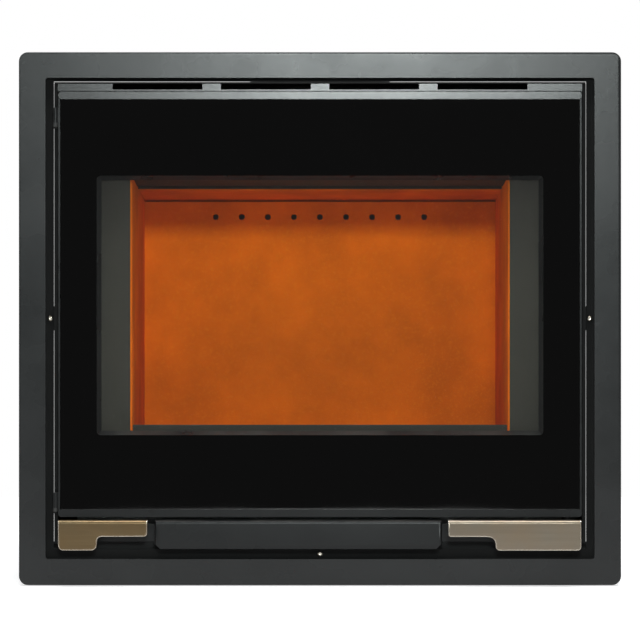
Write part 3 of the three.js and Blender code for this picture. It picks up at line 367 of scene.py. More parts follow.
def board_grain():
    """Pressed mineral flakes: pale flecks, dark specks and a granular skin."""
    def build(tree, given):
        flakes = put(tree, "ShaderNodeTexVoronoi", {"Vector": given["Vector"], "Scale": 780.0})
        flake = put(tree, "ShaderNodeSeparateColor", {0: flakes.outputs["Color"]}).outputs[0]
        grit = noise(tree, given["Vector"], scale=700, detail=3, roughness=0.7)
        cloud = noise(tree, given["Vector"], scale=11, detail=4, roughness=0.6)
        height = calc(tree, "MULTIPLY_ADD", flake, 0.5, calc(tree, "MULTIPLY", grit, 0.5))
        return {
            "Flecks": span(tree, flake, 0.86, 0.93),
            "Specks": span(tree, grit, 0.36, 0.28),
            "Cloud": span(tree, cloud, 0.32, 0.68),
            "Height": height,
        }
    return effect(
        "Board Grain", [("Vector", VECTOR, None)],
        [("Flecks", NUMBER), ("Specks", NUMBER), ("Cloud", NUMBER), ("Height", NUMBER)], build,
    )


def smoke_stain():
    """Soot that thickens from one height to another, in drifting patches."""
    def build(tree, given):
        z = put(tree, "ShaderNodeSeparateXYZ", {0: given["Vector"]}).outputs["Z"]
        rising = stretched(tree, given["Vector"], (7, 7, 3))
        drift = noise(tree, rising, scale=1, detail=5, roughness=0.6)
        ragged = calc(tree, "MULTIPLY_ADD", calc(tree, "SUBTRACT", drift, 0.5), 0.16, z)
        rise = put(tree, "ShaderNodeMapRange", {
            "Value": ragged, "From Min": given["Start"], "From Max": given["Full"],
        }, interpolation_type="SMOOTHSTEP").outputs["Result"]
        return {"Mask": calc(tree, "MULTIPLY", rise, given["Amount"], clamp=True)}
    return effect(
        "Smoke Stain",
        [("Vector", VECTOR, None), ("Start", NUMBER, 0.3), ("Full", NUMBER, 0.45),
         ("Amount", NUMBER, 0.5)],
        [("Mask", NUMBER)], build,
    )


def window_shape():
    """1 inside a rounded rectangle in the XZ plane, 0 outside it."""
    def build(tree, given):
        parts = put(tree, "ShaderNodeSeparateXYZ", {0: given["Vector"]}).outputs
        middle = calc(tree, "MULTIPLY", calc(tree, "ADD", given["Low"], given["High"]), 0.5)
        half_z = calc(tree, "MULTIPLY", calc(tree, "SUBTRACT", given["High"], given["Low"]), 0.5)

        def beyond(value, half):
            inner = calc(tree, "SUBTRACT", half, given["Corner"])
            past = calc(tree, "SUBTRACT", calc(tree, "ABSOLUTE", value), inner)
            return calc(tree, "MAXIMUM", past, 0.0)

        across = beyond(parts["X"], given["Half"])
        upward = beyond(calc(tree, "SUBTRACT", parts["Z"], middle), half_z)
        reach = calc(tree, "SQRT", calc(
            tree, "MULTIPLY_ADD", across, across, calc(tree, "MULTIPLY", upward, upward),
        ))
        return {"Mask": calc(tree, "LESS_THAN", reach, given["Corner"])}
    return effect(
        "Window Shape",
        [("Vector", VECTOR, None), ("Half", NUMBER, 0.2), ("Low", NUMBER, 0.15),
         ("High", NUMBER, 0.4), ("Corner", NUMBER, 0.004)],
        [("Mask", NUMBER)], build,
    )


def braid_weave():
    """Plaited strands round a rope: U runs along it and V round it."""
    def build(tree, given):
        uv = put(tree, "ShaderNodeSeparateXYZ", {0: given["UV"]}).outputs
        along = calc(tree, "MULTIPLY", uv["X"], given["Turns"])
        around = calc(tree, "MULTIPLY", uv["Y"], given["Strands"])

        def strand(direction):
            shifted = calc(tree, "MULTIPLY_ADD", around, direction, along)
            wave = calc(tree, "SINE", calc(tree, "MULTIPLY", shifted, 2 * pi))
            return calc(tree, "MULTIPLY_ADD", wave, 0.5, 0.5)

        over, under = strand(1.0), strand(-1.0)
        height = calc(tree, "MAXIMUM", over, under)
        fibre = noise(tree, given["Vector"], scale=3000, detail=2)
        return {
            "Height": calc(tree, "MULTIPLY_ADD", fibre, 0.15, height),
            "Gaps": span(tree, height, 0.55, 0.1),
        }
    return effect(
        "Braid Weave",
        [("Vector", VECTOR, None), ("UV", VECTOR, None), ("Turns", NUMBER, 300.0),
         ("Strands", NUMBER, 6.0)],
        [("Height", NUMBER), ("Gaps", NUMBER)], build,
    )


# ---------------------------------------------------------------- materials

PAINT_CLOUD, PAINT_HAZE = 1.18, 0.0008       # how much paler the clouds in a paint are
SMOOTHER, ROUGHER = -0.02, 0.03              # and how its roughness drifts with them
DUST_ROUGHNESS, PRIMER_SHADE_ROUGHNESS = 0.5, 0.6  # what dust and the near-black primer of the painted shade add to it
HEAT_TINT = (0.95, 0.8, 0.66)                # how warmth has coloured the brushed steel

def blank(name):
    """A new material, its Principled shader and its Object coordinates."""
    made = bpy.data.materials.new(name)
    made.use_nodes = True
    tree = made.node_tree
    shader = tree.nodes["Principled BSDF"]
    place = put(tree, "ShaderNodeTexCoord").outputs["Object"]
    return made, tree, shader, place


def bumped(tree, shader, height, distance, strength=1.0):
    bump = put(tree, "ShaderNodeBump", {
        "Height": height, "Distance": distance, "Strength": strength,
    })
    tree.links.new(bump.outputs[0], shader.inputs["Normal"])


def shaded(tint, share):
    """A colour made darker or paler by a share."""
    return tuple(channel * share for channel in tint)


def ready(name):
    """The material of this name, if it has been made."""
    return bpy.data.materials.get(name)


def painted(name, tint, roughness, gloss=0.3, worn=0.35, dusty=0.1, shaded_reveal=False):
    """Sprayed paint: its gloss is the specular level, and worn and dusty are shares.

    Behind the trim's face, the reveal can take near-black primer colour as painted shade.
    """
    if ready(name):
        return ready(name)
    made, tree, shader, place = blank(name)
    skin = use(tree, powder_skin(), Vector=place)
    rubbed = calc(tree, "MULTIPLY", use(tree, edge_wear_and_highlight(), Vector=place)["Mask"], worn)
    dust = use(tree, settled_dust(), Vector=place, Amount=dusty)["Mask"]
    lighter = tuple(channel + PAINT_HAZE for channel in shaded(tint, PAINT_CLOUD))
    base = blend_colour(tree, skin["Cloud"], tuple(tint), lighter)
    base = blend_colour(tree, rubbed, base, tuple(colours().rubbed))
    base = blend_colour(tree, dust, base, tuple(colours().ash))
    rough = span(tree, skin["Cloud"], 0, 1, roughness + SMOOTHER, roughness + ROUGHER)
    rough = calc(tree, "MULTIPLY_ADD", dust, DUST_ROUGHNESS, rough)
    # Painted shade: behind the reveal depth the paint turns near black and matt, as the recess lies
    # in shadow.
    if shaded_reveal:
        behind = FACE + sizes().reveal_depth
        primer_and_shade = use(tree, past_depth(), Vector=place, Depth=behind)["Mask"]
        base = blend_colour(tree, primer_and_shade, base, tuple(colours().primer_and_shade))
        rough = calc(tree, "MULTIPLY_ADD", primer_and_shade, PRIMER_SHADE_ROUGHNESS, rough)
    feed(tree, shader.inputs["Base Color"], base)
    feed(tree, shader.inputs["Roughness"], rough)
    shader.inputs["Specular IOR Level"].default_value = gloss
    bumped(tree, shader, skin["Height"], 0.04 * MM)
    return made


# The trim's paint, with painted shade in its reveal.
def trim_paint():
    return painted("trim_face_paint", colours().paint, 0.265, gloss=0.26, shaded_reveal=True)


def stove_paint():
    return painted("stove_paint", colours().paint, 0.28, gloss=0.17)


def rail_paint():
    return painted("rail_paint", colours().paint, 0.225, gloss=0.39)


# Near-black primer: the hinge pins' own finish, and painted shade on the casing sides in the gap
# behind the trim.
def black_primer_and_shade():
    return painted("black_primer_and_shade", colours().primer_and_shade, 0.85, gloss=0.2, worn=0.2)


def fire_paint():
    return painted("firebox_paint", colours().fire_paint, 0.55, worn=0.3, dusty=0.3)


def sooted_paint():
    """Firebox paint inside the chamber, dulled by smoke."""
    if ready("sooted_paint"):
        return ready("sooted_paint")
    made, tree, shader, place = blank("sooted_paint")
    skin = use(tree, powder_skin(), Vector=place)
    stain = use(tree, smoke_stain(), Vector=place, Start=0.32, Full=0.47, Amount=0.8)["Mask"]
    dust = use(tree, settled_dust(), Vector=place, Amount=0.25)["Mask"]
    base = blend_colour(tree, skin["Cloud"], tuple(colours().sooted),
                        tuple(colours().sooted_pale))
    base = blend_colour(tree, stain, base, tuple(colours().soot))
    base = blend_colour(tree, dust, base, tuple(colours().ash))
    feed(tree, shader.inputs["Base Color"], base)
    feed(tree, shader.inputs["Roughness"], span(tree, skin["Cloud"], 0, 1, 0.6, 0.72))
    shader.inputs["Specular IOR Level"].default_value = 0.1
    bumped(tree, shader, skin["Height"], 0.06 * MM)
    return made


def brushed(name, tint):
    """Brushed steel whose cut edges are painted bright: partly polish, partly a painted highlight.
    """
    if ready(name):
        return ready(name)
    made, tree, shader, place = blank(name)
    lines = use(tree, brushed_lines(), Vector=place)
    warmer = tuple(channel * share for channel, share in zip(tint, HEAT_TINT))
    tone = span(tree, lines["Tone"], 0.3, 0.7)
    base = blend_colour(tree, tone, shaded(tint, 0.7), tuple(tint))
    base = blend_colour(tree, calc(tree, "MULTIPLY", lines["Patch"], 0.6), base, warmer)
    # Painted highlight: every edge is blended to the pale polished colour.
    edge = use(tree, edge_wear_and_highlight(), Vector=place, Width=1.2 * MM, Even=1.0)["Mask"]
    base = blend_colour(tree, edge, base, tuple(colours().polished_highlight))
    feed(tree, shader.inputs["Base Color"], base)
    rough = span(tree, lines["Tone"], 0.3, 0.7, 0.26, 0.4)
    feed(tree, shader.inputs["Roughness"], calc(tree, "MULTIPLY_ADD", edge, -0.1, rough))
    shader.inputs["Metallic"].default_value = 1.0
    shader.inputs["Anisotropic"].default_value = 0.6
    bumped(tree, shader, lines["Height"], 0.03 * MM)
    return made


def brushed_stainless():
    return brushed("brushed_stainless", colours().stainless)


# The air lever's steel: a darker copy of the stainless, painted shade for its weaker light.
def shade_darkened_stainless():
    return brushed("shade_darkened_stainless", colours().shade_darkened)


def zinc_sheet(name="zinc_sheet", painted_shade_front=False):
    """Zinc-coated sheet. On a casing sheet the front strip is near black: painted shade for the
    dark gap behind the trim.
    """
    if ready(name):
        return ready(name)
    made, tree, shader, place = blank(name)
    spangle = use(tree, zinc_spangle(), Vector=place)
    dust = use(tree, settled_dust(), Vector=place, Amount=0.35)["Mask"]
    tint = colours().zinc
    tone = calc(tree, "MULTIPLY_ADD", spangle["Tone"], 0.6,
                calc(tree, "MULTIPLY", spangle["Cloud"], 0.4))
    base = blend_colour(tree, tone, shaded(tint, 0.78), tuple(tint))
    base = blend_colour(tree, dust, base, tuple(colours().ash))
    metal = span(tree, dust, 0, 0.4, 0.9, 0.4)
    rough = span(tree, tone, 0.2, 0.8, 0.34, 0.5)
    # Painted shade: the strip in front of the depth is matt near black.
    if painted_shade_front:
        behind = FACE + sizes().painted_shade_depth
        bare = use(tree, past_depth(), Vector=place, Depth=behind)["Mask"]
        base = blend_colour(tree, bare, tuple(colours().primer_and_shade), base)
        metal = calc(tree, "MULTIPLY", metal, bare)
        rough = calc(tree, "MAXIMUM", rough, calc(tree, "MULTIPLY_ADD", bare, -0.8, 0.8))
    feed(tree, shader.inputs["Base Color"], base)
    feed(tree, shader.inputs["Metallic"], metal)
    feed(tree, shader.inputs["Roughness"], rough)
    return made


# Casing zinc whose front strip is painted shade.
def casing_zinc_shaded_front():
    return zinc_sheet("casing_zinc_shaded_front", painted_shade_front=True)


def firelit_insulating_board():
    """Pressed mineral board in painted orange firelight, stained towards its top."""
    if ready("firelit_insulating_board"):
        return ready("firelit_insulating_board")
    made, tree, shader, place = blank("firelit_insulating_board")
    grain = use(tree, board_grain(), Vector=place)
    stain = use(tree, smoke_stain(), Vector=place, Start=0.36, Full=0.46, Amount=0.55)["Mask"]
    dust = use(tree, settled_dust(), Vector=place, Amount=0.8)["Mask"]
    worn = use(tree, edge_wear_and_highlight(), Vector=place, Width=2 * MM)["Mask"]
    chosen = colours()
    # Every board colour here carries the fire's orange glow as painted light.
    base = blend_colour(tree, grain["Cloud"], shaded(chosen.firelit_board, 0.72), tuple(chosen.firelit_board))
    for mask, share, tint in (
        (grain["Flecks"], 0.22, chosen.flake), (grain["Specks"], 0.35, chosen.grit),
        (worn, 0.5, chosen.firelit_board_wear),
    ):
        base = blend_colour(tree, calc(tree, "MULTIPLY", mask, share), base, tuple(tint))
    base = blend_colour(tree, stain, base, tuple(chosen.soot))
    base = blend_colour(tree, dust, base, tuple(chosen.ash))
    feed(tree, shader.inputs["Base Color"], base)
    shader.inputs["Roughness"].default_value = 0.92
    shader.inputs["Specular IOR Level"].default_value = 0.08
    bumped(tree, shader, grain["Height"], 0.4 * MM, strength=0.8)
    return made


def cast_iron():
    """Raw sand-cast iron with rust and ash."""
    if ready("raw_cast_iron"):
        return ready("raw_cast_iron")
    made, tree, shader, place = blank("raw_cast_iron")
    sand = noise(tree, place, scale=900, detail=4, roughness=0.7)
    cloud = noise(tree, place, scale=30, detail=4)
    dust = use(tree, settled_dust(), Vector=place, Amount=0.7)["Mask"]
    rusty = span(tree, cloud, 0.4, 0.65)
    base = blend_colour(tree, rusty, tuple(colours().iron), tuple(colours().rust))
    base = blend_colour(tree, dust, base, tuple(colours().ash))
    feed(tree, shader.inputs["Base Color"], base)
    feed(tree, shader.inputs["Roughness"], span(tree, cloud, 0.3, 0.7, 0.6, 0.8))
    shader.inputs["Metallic"].default_value = 0.5
    bumped(tree, shader, sand, 0.3 * MM)
    return made


def printed_glass():
    """Clear ceramic glass whose border is printed black. Its shadow lets light in."""
    if ready("printed_glass"):
        return ready("printed_glass")
    made, tree, shader, place = blank("printed_glass")
    chosen = sizes()
    clear = use(
        tree, window_shape(), Vector=place, Half=chosen.window_half, Low=chosen.window_low,
        High=chosen.window_high, Corner=chosen.window_corner,
    )["Mask"]
    base = blend_colour(tree, clear, tuple(colours().printing), tuple(colours().clear))
    feed(tree, shader.inputs["Base Color"], base)
    haze = noise(tree, place, scale=8, detail=4)
    feed(tree, shader.inputs["Roughness"], span(tree, haze, 0.3, 0.7, 0.0, 0.03))
    shader.inputs["Transmission Weight"].default_value = 1.0
    shader.inputs["IOR"].default_value = 1.45
    path = put(tree, "ShaderNodeLightPath").outputs
    through = calc(tree, "MAXIMUM", path["Is Shadow Ray"], path["Is Diffuse Ray"])
    gap = put(tree, "ShaderNodeBsdfTransparent", {"Color": base})
    mixed = put(tree, "ShaderNodeMixShader", {
        0: through, 1: shader.outputs[0], 2: gap.outputs[0],
    })
    out = tree.nodes["Material Output"]
    tree.links.new(mixed.outputs[0], out.inputs["Surface"])
    return made


def fibre_rope():
    """Plaited glass fibre, along the UV map of the rope or tape."""
    if ready("fibre_rope"):
        return ready("fibre_rope")
    made, tree, shader, place = blank("fibre_rope")
    uv = put(tree, "ShaderNodeTexCoord").outputs["UV"]
    braid = use(tree, braid_weave(), Vector=place, UV=uv, Turns=330.0, Strands=5.0)
    tint = colours().rope
    base = blend_colour(tree, braid["Gaps"], tuple(tint), shaded(tint, 0.25))
    feed(tree, shader.inputs["Base Color"], base)
    shader.inputs["Roughness"].default_value = 0.9
    shader.inputs["Sheen Weight"].default_value = 0.3
    bumped(tree, shader, braid["Height"], 0.6 * MM)
    return made


# ---------------------------------------------------------------- mesh helpers

def show(name, mesh, body, look, stands_for=()):
    """Puts a mesh in the scene on its body, its look and what it replaces."""
    piece = bpy.data.objects.new(name, mesh)
    bpy.context.scene.collection.objects.link(piece)
    mesh.materials.clear()
    mesh.materials.append(look)
    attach(piece, body)
    if stands_for:
        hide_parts(*stands_for)
    return piece


def soften(piece, width, segments=2, angle=32):
    """Rounds a piece's sharp edges and weights its normals to its large faces."""
    for polygon in piece.data.polygons:
        polygon.use_smooth = True
    bevel = piece.modifiers.new("Edge", "BEVEL")
    bevel.width = width
    bevel.segments = segments
    bevel.limit_method = "ANGLE"
    bevel.angle_limit = radians(angle)
    bevel.miter_outer = "MITER_ARC"
    normals = piece.modifiers.new("Normals", "WEIGHTED_NORMAL")
    normals.weight = 80
    normals.keep_sharp = True
    return piece


def merged_copy(node):
    """A CAD node's shape with its loose triangles joined into whole faces."""
    shape = bmesh.new()
    shape.from_mesh(PARTS[node].data)
    bmesh.ops.remove_doubles(shape, verts=shape.verts, dist=WELD)
    bmesh.ops.join_triangles(
        shape, faces=shape.faces, angle_face_threshold=radians(0.5),
        angle_shape_threshold=pi,
    )
    mesh = bpy.data.meshes.new(node + "_sheet")
    shape.to_mesh(mesh)
    shape.free()
    return mesh


def refined(node, body, look, width, segments=2):
    """The same piece with its real, slightly rounded edges, in the node's place."""
    piece = show(node + "_dressed", merged_copy(node), body, look, [node])
    return soften(piece, width, segments)


def turned(profile, steps):
    """A form turned round the Z axis from a (radius, height) profile in millimetres."""
    shape = bmesh.new()
    corners = [shape.verts.new((radius * MM, 0, height * MM)) for radius, height in profile]
    edges = [shape.edges.new(pair) for pair in zip(corners, corners[1:])]
    bmesh.ops.spin(
        shape, geom=corners + edges, cent=(0, 0, 0), axis=(0, 0, 1), angle=2 * pi,
        steps=steps, use_merge=True,
    )
    bmesh.ops.remove_doubles(shape, verts=shape.verts, dist=WELD)
    return shape


def wrapped(rows, columns, place):
    """A grid laid round a form: place(u, v) moves each corner, and the seams are welded."""
    shape = bmesh.new()
    bmesh.ops.create_grid(shape, x_segments=rows, y_segments=columns, size=0.5)
    chart = shape.loops.layers.uv.new("UVMap")
    for face in shape.faces:
        for loop in face.loops:
            loop[chart].uv = (loop.vert.co.x + 0.5, loop.vert.co.y + 0.5)
    for corner in shape.verts:
        corner.co = place(corner.co.x + 0.5, corner.co.y + 0.5)
    bmesh.ops.remove_doubles(shape, verts=shape.verts, dist=WELD)
    return shape


def gathered(name, parts):
    """One mesh from (shape, matrix) pairs, each closed and turned the right way out."""
    whole = bmesh.new()
    for shape, place in parts:
        bmesh.ops.transform(shape, matrix=place, verts=shape.verts)
        bmesh.ops.recalc_face_normals(shape, faces=shape.faces)
        mesh = bpy.data.meshes.new("loose")
        shape.to_mesh(mesh)
        shape.free()
        whole.from_mesh(mesh)
        bpy.data.meshes.remove(mesh)
    mesh = bpy.data.meshes.new(name)
    whole.to_mesh(mesh)
    whole.free()
    for polygon in mesh.polygons:
        polygon.use_smooth = True
    return mesh


def rounded_path(half, low, high, corner):
    """The way round a rectangle in XZ: at(part) gives a place and the outward direction."""
    across, upright = 2 * (half - corner), high - low - 2 * corner
    middle, arc = (low + high) / 2, corner * pi / 2
    whole = 2 * (across + upright + 2 * arc)
    quarters = (((1, 1), across), ((-1, 1), upright), ((-1, -1), across), ((1, -1), upright))

    def facing(angle):
        return Vector((cos(angle), 0, sin(angle)))

    def at(part):
        gone = part % 1.0 * whole
        for index, ((side, rise), run) in enumerate(quarters):
            centre = Vector((side * across / 2, 0, middle + rise * upright / 2))
            start = index * pi / 2
            if gone <= arc:
                outward = facing(start + gone / corner)
                return centre + outward * corner, outward
            gone -= arc
            outward = facing(start + pi / 2)
            if gone <= run or index == 3:
                return centre + outward * corner + facing(start + pi) * gone, outward
            gone -= run

    return at


def gasket(node, width, corner, rows, columns, turns, strands, dip):
    """A plaited gasket laid round a rectangle in a CAD node's place."""
    low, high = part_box(node)
    path = rounded_path(high.x - width / 2, low.z + width / 2, high.z - width / 2, corner)
    middle, depth = (low.y + high.y) / 2, (high.y - low.y) / 2

    def place(along, around):
        point, outward = path(along)
        angle = around * 2 * pi
        first = sin(2 * pi * (along * turns + around * strands))
        second = sin(2 * pi * (along * turns - around * strands))
        plump = 1 - dip * (1 - max(first, second)) / 2
        reach = outward * cos(angle) * width / 2 * plump
        return point + reach + Vector((0, middle + sin(angle) * depth * plump, 0))

    return gathered(node + "_plait", [(wrapped(rows, columns, place), Matrix())])


def threaded_stud(radius, pitch, low, high):
    """A stud with a real thread, closed at both ends."""
    steps_per_turn, columns, tooth_share = 4, 20, 0.6

    def place(up, around):
        height = low + up * (high - low)
        flank = abs(2 * ((height / pitch - around) % 1.0) - 1)
        reach = radius - tooth_share * pitch * flank
        angle = around * 2 * pi
        return Vector((reach * cos(angle), reach * sin(angle), height))

    rows = round((high - low) / pitch * steps_per_turn)
    shape = wrapped(rows, columns, place)
    rims = [edge for edge in shape.edges if edge.is_boundary]
    bmesh.ops.holes_fill(shape, edges=rims, sides=0)
    return shape


def hexagonal(shape, radius, tolerance=0.05 * MM):
    """Pulls the ring of corners at one radius into a hexagon."""
    sixth = pi / 3
    for corner in shape.verts:
        flat = Vector((corner.co.x, corner.co.y))
        if abs(flat.length - radius) < tolerance:
            angle = atan2(flat.y, flat.x) % sixth
            flat *= cos(sixth / 2) / cos(angle - sixth / 2)
            corner.co.x, corner.co.y = flat
    return shape


# ---------------------------------------------------------------- pieces

class INSERT_OT_trim(bpy.types.Operator):
    """Dress the trim frame and its screws."""
    bl_idname = "insert.trim"
    bl_label = "Trim Frame"

    def execute(self, context):
        refined("trim_frame", "stove", trim_paint(), sizes().sheet_edge)
        for place in ("left", "right", "bottom"):
            self.screw("trim_screw_" + place)
        return {"FINISHED"}

    def screw(self, node):
        """A domed screw with a hexagon socket, its axis along Y."""
        shape = hexagonal(turned(SCREW_PROFILE, steps=24), SOCKET_RADIUS)
        low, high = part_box(node)
        centre = Vector(((low.x + high.x) / 2, low.y, (low.z + high.z) / 2))
        place = Matrix.Translation(centre) @ Matrix.Rotation(radians(-90), 4, "X")
        mesh = gathered(node + "_turned", [(shape, place)])
        piece = show(node + "_dressed", mesh, "stove", brushed_stainless(), [node])
        soften(piece, 0.08 * MM)


class INSERT_OT_casing(bpy.types.Operator):
    """Dress the convection casing, the door recess and the lower front."""
    bl_idname = "insert.casing"
    bl_label = "Casing"

    def execute(self, context):
        edge = sizes().sheet_edge
        # The side sheets are near black: painted shade for the gap behind the trim.
        for node in ("casing_left", "casing_right"):
            refined(node, "stove", black_primer_and_shade(), edge)
        refined("recess_liner", "stove", rail_paint(), edge)
        for node in ("base_strip", "centre_bar"):
            refined(node, "stove", stove_paint(), edge)
        # Their front strips are near black: painted shade.
        for node in ("casing_top", "casing_back"):
            refined(node, "stove", casing_zinc_shaded_front(), edge)
        self.close_lip(refined("casing_base", "stove", casing_zinc_shaded_front(), edge))
        self.rivets()
        return {"FINISHED"}

    def close_lip(self, piece):
        """Runs the ends of the lower front lip in behind the trim frame."""
        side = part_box("casing_base")[1].x
        behind = FACE + sizes().painted_shade_depth
        for corner in piece.data.vertices:
            place = corner.co
            if abs(place.x) > side - MM and place.y < behind:
                place.x += sizes().lip_reach * (1 if place.x > 0 else -1)

    def rivets(self):
        """Blind rivets that hold the side sheets to the top and back sheets."""
        inset, along_top, along_back = 9 * MM, 5, 6
        parts = []
        for node, turn in (("casing_left", -90), ("casing_right", 90)):
            low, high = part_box(node)
            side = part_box("casing_base")[0 if turn < 0 else 1].x
            reach, rise = high.y - low.y - 4 * inset, high.z - low.z - 2 * inset
            places = [
                (low.y + 3 * inset + reach * index / (along_top - 1), high.z - inset)
                for index in range(along_top)
            ] + [
                (high.y - inset, low.z + inset + rise * index / along_back)
                for index in range(along_back)
            ]
            for y, z in places:
                spot = Matrix.Translation((side, y, z)) @ Matrix.Rotation(radians(turn), 4, "Y")
                parts.append((turned(RIVET_PROFILE, steps=16), spot))
        show("casing_rivets", gathered("casing_rivets", parts), "stove",
             zinc_sheet())


class INSERT_OT_firebox(bpy.types.Operator):
    """Dress the firebox, its flue collar and its air ducts."""
    bl_idname = "insert.firebox"
    bl_label = "Firebox"

    def execute(self, context):
        edge = sizes().plate_edge
        for node in ("firebox_left", "firebox_right", "firebox_back", "firebox_top",
                     "firebox_base", "flue_collar"):
            refined(node, "stove", fire_paint(), edge)
        for node in ("firebox_front", "smoke_deflector"):
            refined(node, "stove", sooted_paint(), edge)
        for node in ("air_box", "air_riser_left", "air_riser_right", "air_riser_back",
                     "ash_tray"):
            refined(node, "stove", zinc_sheet(), sizes().sheet_edge)
        for node in ("air_wash_channel", "sill"):
            refined(node, "stove", sooted_paint(), sizes().sheet_edge)
        self.ember_rail()
        return {"FINISHED"}

    def ember_rail(self):
        """A folded strip that stands on the sill and keeps ash off the glass."""
        low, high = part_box("sill")
        chosen = sizes()
        half, front = high.x - MM, low.y + 2 * MM
        resting = high.z + 0.8 * MM
        shape = bmesh.new()
        fold = [shape.verts.new((-half, y, z)) for y, z in (
            (front, high.z + chosen.rail_rise), (front, resting),
            (front + chosen.rail_foot, resting),
        )]
        edges = [shape.edges.new(pair) for pair in zip(fold, fold[1:])]
        drawn = bmesh.ops.extrude_edge_only(shape, edges=edges)
        bmesh.ops.translate(
            shape, vec=(2 * half, 0, 0),
            verts=[part for part in drawn["geom"] if isinstance(part, bmesh.types.BMVert)],
        )
        bmesh.ops.recalc_face_normals(shape, faces=shape.faces)
        mesh = bpy.data.meshes.new("ember_rail")
        shape.to_mesh(mesh)
        shape.free()
        rail = show("ember_rail", mesh, "stove", sooted_paint())
        wall = rail.modifiers.new("Wall", "SOLIDIFY")
        wall.thickness = chosen.rail_wall
        wall.offset = 0
        soften(rail, chosen.sheet_edge)


class INSERT_OT_linings(bpy.types.Operator):
    """Dress the insulating boards and the grate."""
    bl_idname = "insert.linings"
    bl_label = "Linings"

    def execute(self, context):
        for node in ("lining_floor", "lining_left", "lining_right", "lining_back", "baffle"):
            refined(node, "stove", firelit_insulating_board(), sizes().board_edge)
        refined("grate", "stove", cast_iron(), sizes().plate_edge)
        return {"FINISHED"}


class INSERT_OT_door(bpy.types.Operator):
    """Dress the door: frame, glass and rails."""
    bl_idname = "insert.door"
    bl_label = "Door"

    def execute(self, context):
        edge = sizes().sheet_edge
        refined("door_frame", "door", stove_paint(), edge)
        refined("door_top_rail", "door", rail_paint(), edge)
        refined("door_bottom_rail", "door", stove_paint(), edge)
        refined("door_glass", "door", printed_glass(), edge)
        rope = gasket(
            "door_rope", sizes().rope_width, sizes().rope_corner,
            rows=1300, columns=20, turns=190, strands=3, dip=0.2,
        )
        show("door_rope_plait", rope, "door", fibre_rope(), ["door_rope"])
        tape = gasket(
            "glass_tape", sizes().tape_width, sizes().tape_width / 2 + MM,
            rows=900, columns=12, turns=300, strands=2, dip=0.25,
        )
        show("glass_tape_weave", tape, "door", fibre_rope(), ["glass_tape"])
        return {"FINISHED"}


class INSERT_OT_controls(bpy.types.Operator):
    """Dress the handle, the air lever and what they move."""
    bl_idname = "insert.controls"
    bl_label = "Handle and Air Lever"

    def execute(self, context):
        edge = sizes().lever_edge
        refined("handle_plate", "handle", brushed_stainless(), edge, segments=3)
        # The air lever's darker steel is painted shade.
        refined("air_lever", "air_control", shade_darkened_stainless(), edge, segments=3)
        for node, body in (("handle_spindle", "handle"), ("latch_hook", "handle"),
                           ("air_rod", "air_control"), ("air_damper", "air_control")):
            refined(node, body, fire_paint(), sizes().sheet_edge)
        return {"FINISHED"}


class INSERT_OT_hardware(bpy.types.Operator):
    """Dress the feet, the hinges and the latch striker."""
    bl_idname = "insert.hardware"
    bl_label = "Feet and Hinges"

    def execute(self, context):
        for index in range(1, 5):
            self.foot(f"levelling_foot_{index}")
        edge = sizes().sheet_edge
        for node in ("hinge_bracket_lower", "hinge_bracket_upper", "latch_striker"):
            refined(node, "stove", fire_paint(), edge)
        for node in ("hinge_pin_lower", "hinge_pin_upper"):
            refined(node, "stove", black_primer_and_shade(), edge)
        return {"FINISHED"}

    def foot(self, node):
        """A swivel pad, a threaded stud and the lock nut that holds the set height."""
        pad = turned(PAD_PROFILE, steps=32)
        nut = hexagonal(turned(NUT_PROFILE, steps=24), NUT_RADIUS)
        chosen = sizes()
        low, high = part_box(node)
        tall, nut_drop, stud_foot = high.z - low.z, 25.3 * MM, 8 * MM
        stud = threaded_stud(chosen.stud_radius, chosen.thread_pitch, stud_foot, tall)
        spot = Matrix.Translation(((low.x + high.x) / 2, (low.y + high.y) / 2, low.z))
        raised = spot @ Matrix.Translation((0, 0, tall - nut_drop))
        mesh = gathered(node + "_turned", [(pad, spot), (nut, raised), (stud, spot)])
        piece = show(node + "_dressed", mesh, "stove", zinc_sheet(), [node])
        soften(piece, 0.1 * MM, segments=1, angle=40)


# ---------------------------------------------------------------- stage

WHITE, ROOM_TINT = (1, 1, 1), (1, 1, 1.01)
FLOOR_RADIUS = 1.5
DARK_FROM, DARK_FULL = -0.2, -0.6    # Y of the directions where the dark side starts and is full
KEY_PLACE, KEY_SIZE, KEY_TINT = (0.09, FACE - 3.5, 0.98), (0.5, 0.24), (0.92, 1, 0.99)
OVERHEAD_PLACE, OVERHEAD_SIZE = (0.1, FACE - 0.45, 1.9), (1.4, 0.45)


